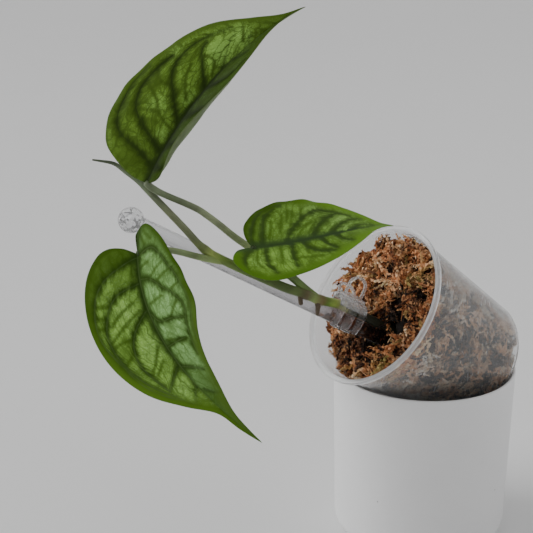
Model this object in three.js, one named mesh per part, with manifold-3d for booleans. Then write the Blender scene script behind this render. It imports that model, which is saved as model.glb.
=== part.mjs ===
// A climbing silver-leaved monstera in a clear nursery pot. The pot is filled with
// moss and lies tilted in the mouth of a round white cover pot. Millimetres, +Z up,
// origin at the centre of the cover pot's underside.

import * as THREE from 'three';
import { mergeVertices } from 'three/addons/utils/BufferGeometryUtils.js';
import Module from 'manifold-3d';

const wasm = await Module();
wasm.setup();

// Driving dimensions

const GAP = 0.3;                       // running gap between pieces that touch
const SLACK = 0.1;                     // added to the gap where a fit is loose

const COVER = {
  rim: 55.3, shoulder: 53.0, foot: 46.0,   // outer radii
  height: 107.8, corner: 10.0, wall: 1.8, floor: 3.0, sides: 48,
};

const CLEAR = {
  lip: 50.0, lipDepth: 3.2, lipWall: 1.1, neck: 48.0, base: 38.4,   // radii and lip
  lipEase: 0.4, lipRoot: 2.0,              // broken edge of the lip, slope under it
  length: 93.2, wall: 1.2, corner: 2.5, sides: 48,
  drainRing: 25.0, drainRadius: 3.0, drains: 6, drainSides: 10,
};
const TAPER = (CLEAR.neck - CLEAR.base) / CLEAR.length;
const MOUTH = new THREE.Vector3(-35.5, -25.1, 157.1);      // centre of the clear pot's mouth
const MOUTH_AZIMUTH = 211.3;           // the way the mouth faces, degrees
const MOUTH_ELEVATION = 34.83;

const MOSS = {
  depth: 13.5, slope: 4.5, crown: 3.0,     // below the lip at the middle, tilt, dome
  relief: 1.6, sides: 28, rings: 7,
  levels: [-70, -50, -32],                 // heights of the rings down its side
  shoulder: 3, edge: 0.6, sag: 2,          // where the side turns into the top
};
const STRAND = {
  count: 48, seed: 11, radius: 0.95,
  half: [3, 6.5], bow: [1.6, 4.2],         // half length and height, smallest to largest
  sunk: 2.2, inset: 9, rimRoom: 5.5,
};
const PIT = { depth: 11, radius: 12 };      // hollow in the moss round stem and stake

const STAKE = { radius: 4.3, ball: 7.2, buried: 62, sides: 14 };
const STAKE_FOOT = new THREE.Vector3(-31.1, -27.5, 136.9);  // axis where it meets the moss
const STAKE_BALL = new THREE.Vector3(-170.8, -63.8, 220.2); // centre of the ball

const CLIP = {
  along: 24.5, length: 18, wall: 1.3,      // place up the stake from the moss, size
  halfWidth: 8.6, stakeBelow: 13.6, lowerArc: 5.35,
  pin: 0.7, pinHead: 1.2, headLength: 0.7, bore: 1.05, barrel: 1.9, clear: 2.25,
  tab: 13, tabWidth: 12, tabLean: 22, tabFoot: 0.6, loopBar: 1.5, loopFoot: 2,
  fingerTop: -9.5, fingerTaper: 0.7, lean: 25,
};
const SPRING = { radius: 1.45, wire: 0.5, turns: 2.75, from: 2.9, to: 4.6, leg: 6.5 };

const STEM_OFFSET = 7.2;               // stem axis to stake axis where they are clipped
const STEM_LEAN = -10;                 // degrees round the stake from straight above
const SEGMENTS = { stem: 8, stemSteps: 56, root: 6, rootSteps: 5, stalk: 7 };

const BLADE = 0.8;                     // leaf thickness

// Small helpers

const rad = THREE.MathUtils.degToRad;
const vec = (p) => new THREE.Vector3(...p);

function material(color, roughness, extra = {}) {
  return new THREE.MeshStandardMaterial({ color, roughness, metalness: 0, ...extra });
}

function weld(geometry) {
  const bare = geometry.clone();
  bare.deleteAttribute('normal');
  bare.deleteAttribute('uv');
  return mergeVertices(bare, 1e-4);
}

// Geometry to solid and back again.
function solid(geometry) {
  const g = weld(geometry);
  return new wasm.Manifold(new wasm.Mesh({
    numProp: 3,
    vertProperties: Float32Array.from(g.attributes.position.array),
    triVerts: Uint32Array.from(g.index.array),
  }));
}

function geometryOf(body) {
  const mesh = body.getMesh();
  const g = new THREE.BufferGeometry();
  g.setAttribute('position', new THREE.BufferAttribute(Float32Array.from(mesh.vertProperties), 3));
  g.setIndex(new THREE.BufferAttribute(Uint32Array.from(mesh.triVerts), 1));
  return g;
}

// The largest piece that is left of a body after cutting.
function largest(body) {
  const parts = body.decompose();
  return parts.reduce((best, p) => (p.volume() > best.volume() ? p : best), parts[0]);
}

function union(bodies) {
  return bodies.reduce((sum, b) => sum.add(b));
}

function mesh(name, geometry, look) {
  const m = new THREE.Mesh(geometry, look);
  m.name = name;
  return m;
}

// A closed tube along a smooth path. `radiusAt` gives the radius at 0..1 of its length and
// `extra` makes it fatter and longer, for the room it needs in another body.
function tube(points, radiusAt, sides, steps, extra = 0) {
  const [first, second] = points;
  const [before, last] = points.slice(-2);
  const longer = points.slice(1, -1);
  longer.unshift(first.clone().addScaledVector(first.clone().sub(second).normalize(), extra));
  longer.push(last.clone().addScaledVector(last.clone().sub(before).normalize(), extra));
  const path = new THREE.CatmullRomCurve3(longer, false, 'centripetal');
  const section = new THREE.Shape();
  for (let i = 0; i < sides; i++) {
    const a = (i / sides) * 2 * Math.PI;
    section[i ? 'lineTo' : 'moveTo'](Math.cos(a), Math.sin(a));
  }
  const g = new THREE.ExtrudeGeometry(section, { steps, extrudePath: path, bevelEnabled: false });
  const rings = Array.from({ length: steps + 1 }, (_, i) => path.getPointAt(i / steps));
  const position = g.attributes.position;
  const p = new THREE.Vector3();
  for (let i = 0; i < position.count; i++) {
    p.fromBufferAttribute(position, i);
    let near = 0;
    for (let k = 1; k <= steps; k++) {
      const closer = Math.abs(rings[k].distanceTo(p) - 1) < Math.abs(rings[near].distanceTo(p) - 1);
      if (closer) near = k;
    }
    p.sub(rings[near]).setLength(radiusAt(near / steps) + extra).add(rings[near]);
    position.setXYZ(i, p.x, p.y, p.z);
  }
  return weld(g);
}

// A round body turned about Z from its half section, which starts and ends on the axis.
function turned(profile, sides) {
  const g = new THREE.LatheGeometry(profile.map(([r, z]) => new THREE.Vector2(r, z)), sides);
  return weld(g.rotateX(Math.PI / 2));
}

// Points of an arc from angle a to b, degrees.
function arc(cx, cy, r, a, b, steps) {
  return Array.from({ length: steps + 1 }, (_, i) => {
    const t = rad(a + ((b - a) * i) / steps);
    return [cx + r * Math.cos(t), cy + r * Math.sin(t)];
  });
}

// A repeatable random number from 0 to 1, by repeated multiplication modulo a prime.
const FACTOR = 16807;
const PRIME = 2147483647;

function randomFrom(seed) {
  let state = seed;
  return () => {
    state = (state * FACTOR) % PRIME;
    return state / PRIME;
  };
}

// Cover pot: a plain round pot, nearly straight, with a rounded foot

function coverPot() {
  const { rim, shoulder, foot, height, corner, wall, floor, sides } = COVER;
  const bend = shoulder - foot;
  const outer = arc(foot, corner, 1, -90, 0, 5).map(([r, z]) => [
    foot + (r - foot) * bend, corner + (z - corner) * corner]);
  const lip = wall / 2;
  const top = arc(rim - lip, height - lip, lip, 0, 180, 4);
  const inner = arc(foot - wall, corner, 1, 0, -90, 4).map(([r, z]) => [
    foot - wall + (r - foot + wall) * bend, corner + (z - corner) * (corner - floor)]);
  return turned([[0, 0], ...outer, ...top, ...inner, [0, floor]], sides);
}

// Clear pot: tapered, with a turned-out lip, drain holes in the floor

function clearPot() {
  const { lip, lipDepth, lipWall, lipEase, lipRoot, neck, base, length, wall, corner, sides } = CLEAR;
  const wallAt = (z) => neck + z * TAPER;
  const edge = arc(base - corner, -length + corner, corner, -90, -6, 4);
  const shell = solid(turned([
    [0, -length], ...edge,
    [wallAt(-lipDepth - lipRoot), -lipDepth - lipRoot], [wallAt(-lipDepth), -lipDepth],
    [lip, -lipDepth], [lip, -lipEase], [lip - lipEase, 0], [lip - lipWall - lipRoot, 0],
    [wallAt(-lipRoot) - wall, -lipRoot],
    [wallAt(-length + corner + wall) - wall, -length + corner + wall],
    [base - corner - wall, -length + wall], [0, -length + wall],
  ], sides));
  const { drainRing, drainRadius, drains, drainSides } = CLEAR;
  const drill = (x, y) => {
    const g = new THREE.CylinderGeometry(drainRadius, drainRadius, 5 * wall, drainSides);
    return solid(g.rotateX(Math.PI / 2).translate(x, y, -length));
  };
  const holes = [drill(0, 0)];
  for (let i = 0; i < drains; i++) {
    const a = ((i + 0.5) / drains) * 2 * Math.PI;
    holes.push(drill(drainRing * Math.cos(a), drainRing * Math.sin(a)));
  }
  return geometryOf(holes.reduce((pot, hole) => pot.subtract(hole), shell));
}

// The clear pot's own frame: +Z out of its mouth, origin at the mouth's centre.
const mouthAxis = new THREE.Vector3(
  Math.cos(rad(MOUTH_ELEVATION)) * Math.cos(rad(MOUTH_AZIMUTH)),
  Math.cos(rad(MOUTH_ELEVATION)) * Math.sin(rad(MOUTH_AZIMUTH)),
  Math.sin(rad(MOUTH_ELEVATION)),
);
const uphill = new THREE.Vector3(0, 0, 1).addScaledVector(mouthAxis, -mouthAxis.z).normalize();
const sideways = new THREE.Vector3().crossVectors(uphill, mouthAxis);
const potFrame = new THREE.Matrix4().makeBasis(sideways, uphill, mouthAxis).setPosition(MOUTH);

// Stake: a straight clear rod with a ball on top

const stakeUp = STAKE_BALL.clone().sub(STAKE_FOOT).normalize();
const stakeSpan = STAKE_BALL.distanceTo(STAKE_FOOT);
const onStake = (s) => STAKE_FOOT.clone().addScaledVector(stakeUp, s);

function stake(extra = 0) {
  const { radius, ball, buried, sides } = STAKE;
  const r = radius + extra;
  const join = THREE.MathUtils.radToDeg(Math.asin(radius / ball));
  const head = arc(0, stakeSpan, ball + extra, -90 + join, 90, 8).slice(0, -1);
  const g = turned([
    [0, -buried - extra], [r * 0.6, -buried - extra], [r, -buried + 3],
    ...head, [0, stakeSpan + ball + extra],
  ], sides);
  const turn = new THREE.Quaternion().setFromUnitVectors(new THREE.Vector3(0, 0, 1), stakeUp);
  return g.applyQuaternion(turn).translate(...STAKE_FOOT.toArray());
}

// Directions round the stake: `above` lies in the upright plane seen from the front and
// `front` looks at the viewer; a lean turns away from the viewer round the stake.
const towardViewer = new THREE.Vector3(0, -0.9405, 0.3397);
const stakeFront = towardViewer.clone().addScaledVector(stakeUp, -towardViewer.dot(stakeUp)).normalize();
const stakeAbove = new THREE.Vector3().crossVectors(stakeFront, stakeUp).normalize();
if (stakeAbove.z < 0) stakeAbove.negate();
const roundStake = (degrees) => stakeAbove.clone().multiplyScalar(Math.cos(rad(degrees)))
  .addScaledVector(stakeFront, -Math.sin(rad(degrees)));

// Vine: the main stem with its buried roots, two aerial roots and the growing tip

const beside = (s, offset = STEM_OFFSET, lean = STEM_LEAN) => onStake(s)
  .addScaledVector(roundStake(lean), offset);

const STEM_POINTS = [
  beside(-32, 12, -35), beside(-18, 9, -25), beside(-6, 7.6), beside(6), beside(15), beside(24),
  beside(33, STEM_OFFSET + 0.2, -14),
  vec([-67.3, -42.6, 166]), vec([-71.9, -44.3, 168.7]), vec([-77, -45.8, 171.2]),
  vec([-86.3, -48.9, 175.6]), vec([-99.3, -52.5, 182.8]), vec([-111.6, -56, 189.7]),
  vec([-121.5, -58.6, 195.6]), vec([-129.2, -60.4, 200.9]), vec([-133.4, -60.9, 204.6]),
  vec([-141.6, -59.5, 213.6]), vec([-152.4, -59.5, 225.6]), vec([-160.6, -58.6, 234.4]),
  vec([-166.6, -56.2, 240]), vec([-173.6, -54.2, 244.6]), vec([-180, -53.4, 249]),
  vec([-187, -57, 251.6]), vec([-191, -60.4, 253.2]),
];
const STEM_RADII = [
  [0, 2.0], [0.12, 2.6], [0.42, 2.7], [0.6, 2.5], [0.68, 2.1], [0.86, 1.9], [0.93, 1.2],
  [0.97, 0.75], [1, 0.45],
];
const SHEATH_BUMPS = [{ at: 0.335, size: 0.5 }, { at: 0.375, size: 0.4 }, { at: 0.655, size: 0.45 }];
const BUMP_LENGTH = 0.012;

function stemRadius(t) {
  const next = STEM_RADII.findIndex(([at]) => at >= t);
  const [a, ra] = STEM_RADII[Math.max(next - 1, 0)];
  const [b, rb] = STEM_RADII[Math.max(next, 0)];
  const plain = a === b ? ra : ra + ((rb - ra) * (t - a)) / (b - a);
  const bump = SHEATH_BUMPS.reduce((s, k) => s + k.size * Math.exp(-(((t - k.at) / BUMP_LENGTH) ** 2)), 0);
  return plain + bump;
}

const AERIAL_ROOTS = [
  { points: [[-67.4, -43.3, 165.4], [-67.4, -44.8, 161.5], [-67.6, -45.4, 157.6]], from: 1.6, to: 0.7 },
  { points: [[-77.6, -46, 170.7], [-77.4, -47, 167.6], [-77.2, -47.4, 164.9]], from: 1.5, to: 0.8 },
];
const BURIED_ROOTS = [                  // from the second point of the stem
  { points: [[0, 0, 0], [7, -6, -10], [10, 2, -22]], from: 1.3, to: 0.8 },
  { points: [[0, 0, 0], [9, 8, -6], [20, 12, -14]], from: 1.3, to: 0.8 },
];

function rootTube({ points, from, to }, start, extra) {
  const path = points.map((p) => vec(p).add(start));
  return solid(tube(path, (t) => from + (to - from) * t, SEGMENTS.root, SEGMENTS.rootSteps, extra));
}

function vine(extra = 0) {
  const main = solid(tube(STEM_POINTS, stemRadius, SEGMENTS.stem, SEGMENTS.stemSteps, extra));
  return union([
    main,
    ...AERIAL_ROOTS.map((r) => rootTube(r, new THREE.Vector3(), extra)),
    ...BURIED_ROOTS.map((r) => rootTube(r, STEM_POINTS[1], extra)),
  ]);
}

// Leaf stalks, from the stem to the foot of each blade

const STALKS = {
  a: {
    points: [[-68, -40.8, 166], [-74.4, -43.4, 172.4], [-82.3, -43.4, 179.6], [-94.8, -43.8, 189.2],
      [-106.1, -45, 197.8], [-115.6, -46.8, 205.5], [-122.8, -48.8, 212.4], [-129.9, -51.2, 218.9],
      [-134.7, -53, 222.9], [-141.7, -56, 227.4], [-149.6, -60, 232.2], [-155.9, -63.4, 236.4],
      [-159.7, -65.4, 239.6], [-161.9, -66.1, 242]],
    from: 2.6, to: 1.75,
  },
  b: {
    points: [[-119.4, -57, 193.8], [-127, -61.4, 196.6], [-135.7, -65.4, 200], [-143.1, -68.6, 203.2],
      [-149.4, -71.6, 205.5], [-155.7, -75.2, 207.2], [-160.8, -78.8, 207.9], [-165.8, -82.9, 207.3]],
    from: 2.1, to: 1.6,
  },
  c: {
    points: [[-98.2, -51, 181.8], [-97.2, -58.4, 187], [-98.7, -67.4, 195.6], [-101.2, -74, 203.4],
      [-104.3, -77.9, 209.4]],
    from: 2.0, to: 1.5,
  },
};

const STALK_EASE = 0.7;                // a stalk narrows fast at first

function stalk({ points, from, to }) {
  const radiusAt = (t) => from + (to - from) * t ** STALK_EASE;
  return solid(tube(points.map(vec), radiusAt, SEGMENTS.stalk, points.length * 2));
}

// Leaves. A blade is drawn flat first, x along the midrib from the stalk and y across,
// each half by a few points of its edge. It is then folded along the midrib, arched
// towards its tip and turned to its place. N is the side that faces the light.

const LEAVES = {
  a: {
    foot: [-161.9, -66.1, 242], along: [0.418, 0.174, 0.892], light: [-0.504, -0.772, 0.387],
    length: 131.7, arch: [0.25, 0.2, 0.3], sway: [-0.54, 0.22],
    plus: { fold: [0.6, 0, -0.2], curl: [-0.35, 0, 0.12],
      edge: [[0, 0], [0, 8], [4, 20], [10, 30], [21, 35], [36, 36], [60, 31], [84, 23], [104, 10],
        [118, 2.6]] },
    minus: { fold: [-0.05, 0, 0, 1.3], curl: [3.2, -2.2], rolled: true,
      edge: [[0, 0], [3, 5], [8, 11.5], [16, 18], [28, 24], [44, 27], [62, 26], [84, 19], [104, 8],
        [118, 2.4]] },
  },
  b: {
    foot: [-165.8, -82.9, 207.3], along: [0.006, -0.405, -0.915], light: [-0.423, -0.830, 0.364],
    length: 127.1, arch: [0, 0.3, 0.5], sway: [1.91, -1.22],
    plus: { fold: [0.42, 0, -0.13], curl: [-0.25, 0, 0.08],
      edge: [[0, 0], [-11, -1], [-16, 6], [-11, 16], [3, 27], [26, 33], [46, 31.5], [66, 20], [86, 12],
        [103, 4.5], [116, 1.8]] },
    minus: { fold: [0.42, 0, -0.13], curl: [-0.25, 0, 0.08],
      edge: [[0, 0], [-3, 9], [-2, 18], [8, 28], [24, 33], [44, 32], [66, 24], [84, 12], [98, 3],
        [112, 1.6]] },
  },
  c: {
    foot: [-104.3, -77.9, 209.4], along: [0.922, 0.386, -0.035], light: [0.280, -0.600, 0.750],
    length: 113.1, arch: [0.3, 0.2, 0.2], sway: [0.63, -0.32],
    plus: { fold: [0.3, 0, -0.09], curl: [-0.3, 0, 0.09],
      edge: [[0, 0], [-3, 5], [-3, 12], [6, 20], [24, 24], [42, 22.5], [62, 16], [80, 8], [96, 1.6]] },
    minus: { fold: [0.3, 0, -0.09], curl: [-0.3, 0, 0.09],
      edge: [[0, 0], [-9, 1], [-14, 8], [-10, 17], [2, 24], [20, 22.5], [44, 17], [66, 10], [84, 4],
        [98, 1.5]] },
  },
};
const CURL_WIDTH = 36;                 // half width over which a blade turns by its curl
const GRID = { along: 26, across: [0.05, 0.36, 0.7, 1], rolled: [0.05, 0.2, 0.4, 0.6, 0.8, 1] };
const FAN = 0.3;                       // share of the edge served by veins from the stalk
const RIB = { depth: 0.9, fade: 0.85 };
const FOOT_HOLLOW = 1.65;              // radius cleared in a stalk for the foot of its blade

const polynomial = (factors, t) => factors.reduceRight((sum, k) => sum * t + k, 0);

// A smooth curve through edge points, ending at the tip.
function edgeCurve(edge, length) {
  const points = [...edge, [length, 0]].map(([x, y]) => new THREE.Vector3(x, y, 0));
  return new THREE.CatmullRomCurve3(points, false, 'centripetal');
}

// The folded, arched leaf surface as a function of flat x and y.
function leafSurface(leaf) {
  const T = vec(leaf.along).normalize();
  const N = vec(leaf.light);
  N.addScaledVector(T, -N.dot(T)).normalize();
  const S = new THREE.Vector3().crossVectors(N, T);
  const steps = 160;
  const spine = [vec(leaf.foot)];
  const frameAt = (x) => {
    const t = THREE.MathUtils.clamp(x / leaf.length, 0, 1);
    const a = t * polynomial(leaf.arch, t);
    const b = t * polynomial(leaf.sway, t);
    const ahead = T.clone().multiplyScalar(Math.cos(a) * Math.cos(b))
      .addScaledVector(S, Math.cos(a) * Math.sin(b)).addScaledVector(N, -Math.sin(a));
    const across = S.clone().multiplyScalar(Math.cos(b)).addScaledVector(T, -Math.sin(b));
    const up = new THREE.Vector3().crossVectors(ahead, across);
    return { t, ahead, across, up };
  };
  for (let i = 1; i <= steps; i++) {
    const { ahead } = frameAt(((i - 0.5) / steps) * leaf.length);
    spine.push(spine[i - 1].clone().addScaledVector(ahead, leaf.length / steps));
  }
  return (x, y) => {
    const { t, ahead, across, up } = frameAt(x);
    const at = THREE.MathUtils.clamp((x / leaf.length) * steps, 0, steps);
    const i = Math.min(Math.floor(at), steps - 1);
    const p = spine[i].clone().lerp(spine[i + 1], at - i);
    if (x < 0) p.addScaledVector(ahead, x);
    const half = y >= 0 ? leaf.plus : leaf.minus;
    const fold = polynomial(half.fold, t);
    const curl = polynomial(half.curl, t);
    const turn = fold + (curl * Math.abs(y)) / CURL_WIDTH;
    const out = ((Math.sin(turn) - Math.sin(fold)) * CURL_WIDTH) / curl;
    const lift = (-(Math.cos(turn) - Math.cos(fold)) * CURL_WIDTH) / curl;
    return p.addScaledVector(across, Math.sign(y) * out).addScaledVector(up, lift);
  };
}

// A closed blade: upper and lower faces on one grid, joined round the edge. `extra` makes
// it thicker and starts it earlier, for the room it needs in its stalk.
function blade(leaf, extra = 0) {
  const place = leafSurface(leaf);
  const edges = {
    plus: edgeCurve(leaf.plus.edge, leaf.length),
    minus: edgeCurve(leaf.minus.edge, leaf.length),
  };
  const columns = [
    ...(leaf.minus.rolled ? GRID.rolled : GRID.across).map((v) => ['minus', v]).reverse(),
    ['plus', 0],
    ...GRID.across.map((v) => ['plus', v]),
  ];
  const flat = (i, [side, v]) => {
    const u = i / GRID.along;
    const onRib = Math.max(0, (u - FAN) / (1 - FAN)) * leaf.length;
    const e = edges[side].getPointAt(u);
    const y = (side === 'plus' ? 1 : -1) * e.y;
    return [onRib + (e.x - onRib) * v, y * v];
  };
  const upper = [];
  const lower = [];
  const step = 0.4;
  for (let i = 0; i <= GRID.along; i++) {
    for (const column of columns) {
      const [plain, y] = flat(i, column);
      const x = plain - extra;
      const ys = Math.abs(y) < 1e-6 ? 0 : y;
      const p = place(x, ys);
      const dx = place(x + step, ys).sub(place(x - step, ys));
      const dy = place(x, ys + step).sub(place(x, ys - step));
      const n = dx.cross(dy).normalize();
      if (n.dot(vec(leaf.light)) < 0 && Math.abs(ys) < 1) n.negate();
      const rib = column[1] === 0 ? RIB.depth * (1 - RIB.fade * Math.max(0, x / leaf.length)) : 0;
      upper.push(p.clone().addScaledVector(n, BLADE / 2 + extra));
      lower.push(p.clone().addScaledVector(n, -BLADE / 2 - rib - extra));
    }
  }
  const wide = columns.length;
  const count = upper.length;
  const faces = [];
  const quad = (a, b, c, d) => faces.push(a, b, c, a, c, d);
  for (let i = 0; i < GRID.along; i++) {
    for (let j = 0; j < wide - 1; j++) {
      const a = i * wide + j;
      quad(a, a + wide, a + wide + 1, a + 1);
      quad(count + a, count + a + 1, count + a + wide + 1, count + a + wide);
    }
    const left = i * wide;
    const right = left + wide - 1;
    quad(left, count + left, count + left + wide, left + wide);
    quad(right, right + wide, count + right + wide, count + right);
  }
  const g = new THREE.BufferGeometry();
  const all = [...upper, ...lower].flatMap((p) => p.toArray());
  g.setAttribute('position', new THREE.BufferAttribute(Float32Array.from(all), 3));
  g.setIndex(faces);
  return dropSlivers(weld(g));
}

// Removes triangles whose corners have become one, then turns the body right side out.
function dropSlivers(g) {
  const kept = [];
  const index = g.index.array;
  for (let i = 0; i < index.length; i += 3) {
    const [a, b, c] = [index[i], index[i + 1], index[i + 2]];
    if (a !== b && b !== c && c !== a) kept.push(a, b, c);
  }
  const position = g.attributes.position;
  const [p, q, r] = [new THREE.Vector3(), new THREE.Vector3(), new THREE.Vector3()];
  let volume = 0;
  for (let i = 0; i < kept.length; i += 3) {
    p.fromBufferAttribute(position, kept[i]);
    q.fromBufferAttribute(position, kept[i + 1]);
    r.fromBufferAttribute(position, kept[i + 2]);
    volume += p.dot(q.cross(r));
  }
  if (volume < 0) {
    for (let i = 0; i < kept.length; i += 3) [kept[i + 1], kept[i + 2]] = [kept[i + 2], kept[i + 1]];
  }
  g.setIndex(kept);
  return g;
}

// Moss: a tapered plug with a lumpy top, loose strands raised on it, and plain holes for
// what stands in it

function mossHeight(x, y) {
  const { depth, slope, crown, relief } = MOSS;
  const r = Math.hypot(x, y) / CLEAR.neck;
  const ripple = Math.sin(x * 0.31 + 1.3 * Math.sin(y * 0.23))
    * Math.sin(y * 0.37 + 0.8 * Math.sin(x * 0.19));
  const fine = Math.sin(x * 0.83 + y * 0.41) * Math.sin(y * 0.91 - x * 0.27);
  return -depth + slope * (y / CLEAR.neck) + crown * (1 - r * r) + relief * (ripple + 0.5 * fine);
}

function mossPlug() {
  const { sides, rings, depth, levels, shoulder, edge, sag } = MOSS;
  const { neck, base, length, wall, corner } = CLEAR;
  const room = wall + GAP + SLACK;
  const topRadius = neck - (depth + sag) * TAPER - room - edge;
  const floor = -length + room;
  const profile = [
    [0, floor], [base - corner - room - 1, floor], [base + 3 * TAPER - room - SLACK - GAP, floor + 4],
  ];
  for (const z of levels) profile.push([neck + z * TAPER - room - GAP, z]);
  profile.push([topRadius, -depth - shoulder]);
  for (let i = 1; i < rings; i++) profile.push([topRadius * (1 - i / rings), -depth]);
  profile.push([0, -depth]);
  const g = turned(profile, sides);
  const position = g.attributes.position;
  for (let i = 0; i < position.count; i++) {
    const [x, y, z] = [position.getX(i), position.getY(i), position.getZ(i)];
    if (z < -depth - shoulder - edge) continue;
    const rim = Math.hypot(x, y) > topRadius - edge;
    position.setZ(i, mossHeight(x, y) - (rim ? sag : 0));
  }
  return solid(g);
}

// One loose strand: a low bow, both ends sunk in the plug.
function strand(random) {
  const between = ([least, most]) => least + (most - least) * random();
  const r = Math.sqrt(random()) * (CLEAR.neck - STRAND.inset);
  const a = random() * 2 * Math.PI;
  const turn = random() * 2 * Math.PI;
  const half = between(STRAND.half);
  const high = between(STRAND.bow);
  const [x, y] = [r * Math.cos(a), r * Math.sin(a)];
  const [dx, dy] = [half * Math.cos(turn), half * Math.sin(turn)];
  const low = (px, py) => {
    const k = Math.hypot(px, py) / (CLEAR.neck - STRAND.rimRoom);
    const s = k > 1 ? 1 / k : 1;
    return [px * s, py * s, mossHeight(px * s, py * s)];
  };
  const ends = [low(x - dx, y - dy), low(x + dx, y + dy)];
  const middle = low(x + dy * 0.25, y - dx * 0.25);
  const raised = (p, by) => vec(p).add(vec([0, 0, by]));
  const points = [raised(ends[0], -STRAND.sunk), raised(middle, high), raised(ends[1], -STRAND.sunk)];
  return solid(tube(points, () => STRAND.radius, 4, 3));
}

function moss(holes) {
  const random = randomFrom(STRAND.seed);
  const strands = Array.from({ length: STRAND.count }, () => strand(random));
  const pit = new THREE.SphereGeometry(PIT.radius, 12, 8).scale(1, 1, PIT.depth / PIT.radius);
  const centre = onStake(1).addScaledVector(roundStake(STEM_LEAN), STEM_OFFSET * 0.6);
  const top = centre.applyMatrix4(potFrame.clone().invert());
  const pitSolid = solid(weld(pit.translate(top.x, top.y, mossHeight(top.x, top.y) + 1)));
  const local = union([mossPlug(), ...strands]).subtract(pitSolid);
  const placed = solid(geometryOf(local).applyMatrix4(potFrame));
  return geometryOf(largest(holes.reduce((m, hole) => m.subtract(hole), placed)));
}

// A piece of dark bark that lies pressed into the moss near the upper edge
const BARK = { at: [-23.5, 0.6, 176.6], size: [3.6, 2.6, 4.4], turn: [0.5, 0.3, 0.9] };

function bark(extra = 0) {
  const [a, b, c] = BARK.size.map((s) => s + extra);
  const g = new THREE.DodecahedronGeometry(1, 0).scale(a, b, c);
  return weld(g).applyMatrix4(new THREE.Matrix4().makeRotationFromEuler(new THREE.Euler(...BARK.turn)))
    .translate(...BARK.at);
}

// Clip: two jaws with finger loops on one hinge pin, closed by a small coil spring.
// Its own frame: X along the stake, Y to the front, Z from the stake to the hinge.

const JAW_SPANS = { front: [[-2.4, 2.4]], back: [[-9, -5.2], [5.2, 9]] };
const FINGERS = { front: [-7.4, 0, 7.4], back: [-3.7, 3.7] };
const FINGER_WIDTH = 4.6;

function box(x0, x1, y0, y1, z0, z1) {
  const g = new THREE.BoxGeometry(x1 - x0, y1 - y0, z1 - z0);
  return solid(g.translate((x0 + x1) / 2, (y0 + y1) / 2, (z0 + z1) / 2));
}

function rodAlongX(radius, x0, x1, sides = 12) {
  const g = new THREE.CylinderGeometry(radius, radius, x1 - x0, sides).rotateZ(Math.PI / 2);
  return solid(g.translate((x0 + x1) / 2, 0, 0));
}

// A bent strip of even thickness along a list of (y, z) points, extruded along X.
function strip(points, thickness, length) {
  const offset = (sign) => points.map(([y, z], i) => {
    const [py, pz] = points[Math.max(i - 1, 0)];
    const [ny, nz] = points[Math.min(i + 1, points.length - 1)];
    const l = Math.hypot(ny - py, nz - pz);
    const half = (sign * thickness) / 2;
    return new THREE.Vector2(y + (half * (nz - pz)) / l, z - (half * (ny - py)) / l);
  });
  const outline = new THREE.Shape([...offset(1), ...offset(-1).reverse()]);
  const g = new THREE.ExtrudeGeometry(outline, { depth: length, bevelEnabled: false });
  const toClip = new THREE.Matrix4().makeBasis(
    new THREE.Vector3(0, 1, 0), new THREE.Vector3(0, 0, 1), new THREE.Vector3(1, 0, 0));
  return solid(g.translate(0, 0, -length / 2).applyMatrix4(toClip));
}

// The flat loop that a finger presses: straight sides, a round top and a hole of the same form.
function fingerLoop(root) {
  const { wall, tab, tabWidth, tabLean, tabFoot, loopBar, loopFoot } = CLIP;
  const outline = (path, half, foot) => {
    path.moveTo(-half, foot);
    path.lineTo(half, foot);
    path.lineTo(half, tab - tabWidth / 2);
    path.absarc(0, tab - tabWidth / 2, half, 0, Math.PI, false);
    return path;
  };
  const loop = outline(new THREE.Shape(), tabWidth / 2, 0);
  loop.holes.push(outline(new THREE.Path(), tabWidth / 2 - loopBar, loopFoot));
  const flat = new THREE.ExtrudeGeometry(loop, { depth: wall, bevelEnabled: false, curveSegments: 10 });
  flat.translate(0, 0, -wall / 2).rotateX(Math.PI / 2 - rad(tabLean));
  return solid(flat.translate(0, root, tabFoot));
}

// Front jaw as modelled, back jaw as its mirror image with its own fingers and barrels.
function jaw(side) {
  const { length, wall, halfWidth, stakeBelow, lowerArc, bore, barrel, clear } = CLIP;
  const hook = arc(0, -stakeBelow, lowerArc, -84, -20, 5);
  const root = clear + wall / 2 + SLACK;
  const plate = strip([
    ...hook, [halfWidth - 0.4, -stakeBelow + 3.4], [halfWidth, -9.2], [halfWidth - 0.6, -6],
    [halfWidth - 2.4, -3.4],
    [root, -1.2], [root, 1.4],
  ], wall, length);
  let body = plate.add(fingerLoop(root));
  const deep = -stakeBelow - lowerArc - wall - 1;
  const { fingerTop, fingerTaper } = CLIP;
  for (const x of gapsBetween(FINGERS[side], length)) {
    const wedge = new THREE.Shape([
      new THREE.Vector2(x.from + fingerTaper, fingerTop), new THREE.Vector2(x.from, deep),
      new THREE.Vector2(x.to, deep), new THREE.Vector2(x.to - fingerTaper, fingerTop),
    ]);
    const reach = halfWidth + 2;
    const cutter = new THREE.ExtrudeGeometry(wedge, { depth: 2 * reach, bevelEnabled: false });
    body = body.subtract(solid(cutter.rotateX(Math.PI / 2).translate(0, reach, 0)));
  }
  const otherSpans = JAW_SPANS[side === 'front' ? 'back' : 'front'];
  for (const [x0, x1] of otherSpans) body = body.subtract(rodAlongX(clear, x0 - GAP, x1 + GAP, 16));
  for (const [x0, x1] of JAW_SPANS[side]) {
    body = body.add(rodAlongX(barrel, x0, x1, 14)).add(box(x0, x1, 0, root, -1, 1));
    body = body.subtract(rodAlongX(bore, x0 - 1, x1 + 1, 12));
  }
  const g = geometryOf(largest(body));
  return side === 'front' ? g : geometryOf(solid(g).mirror([0, 1, 0]));
}

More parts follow.
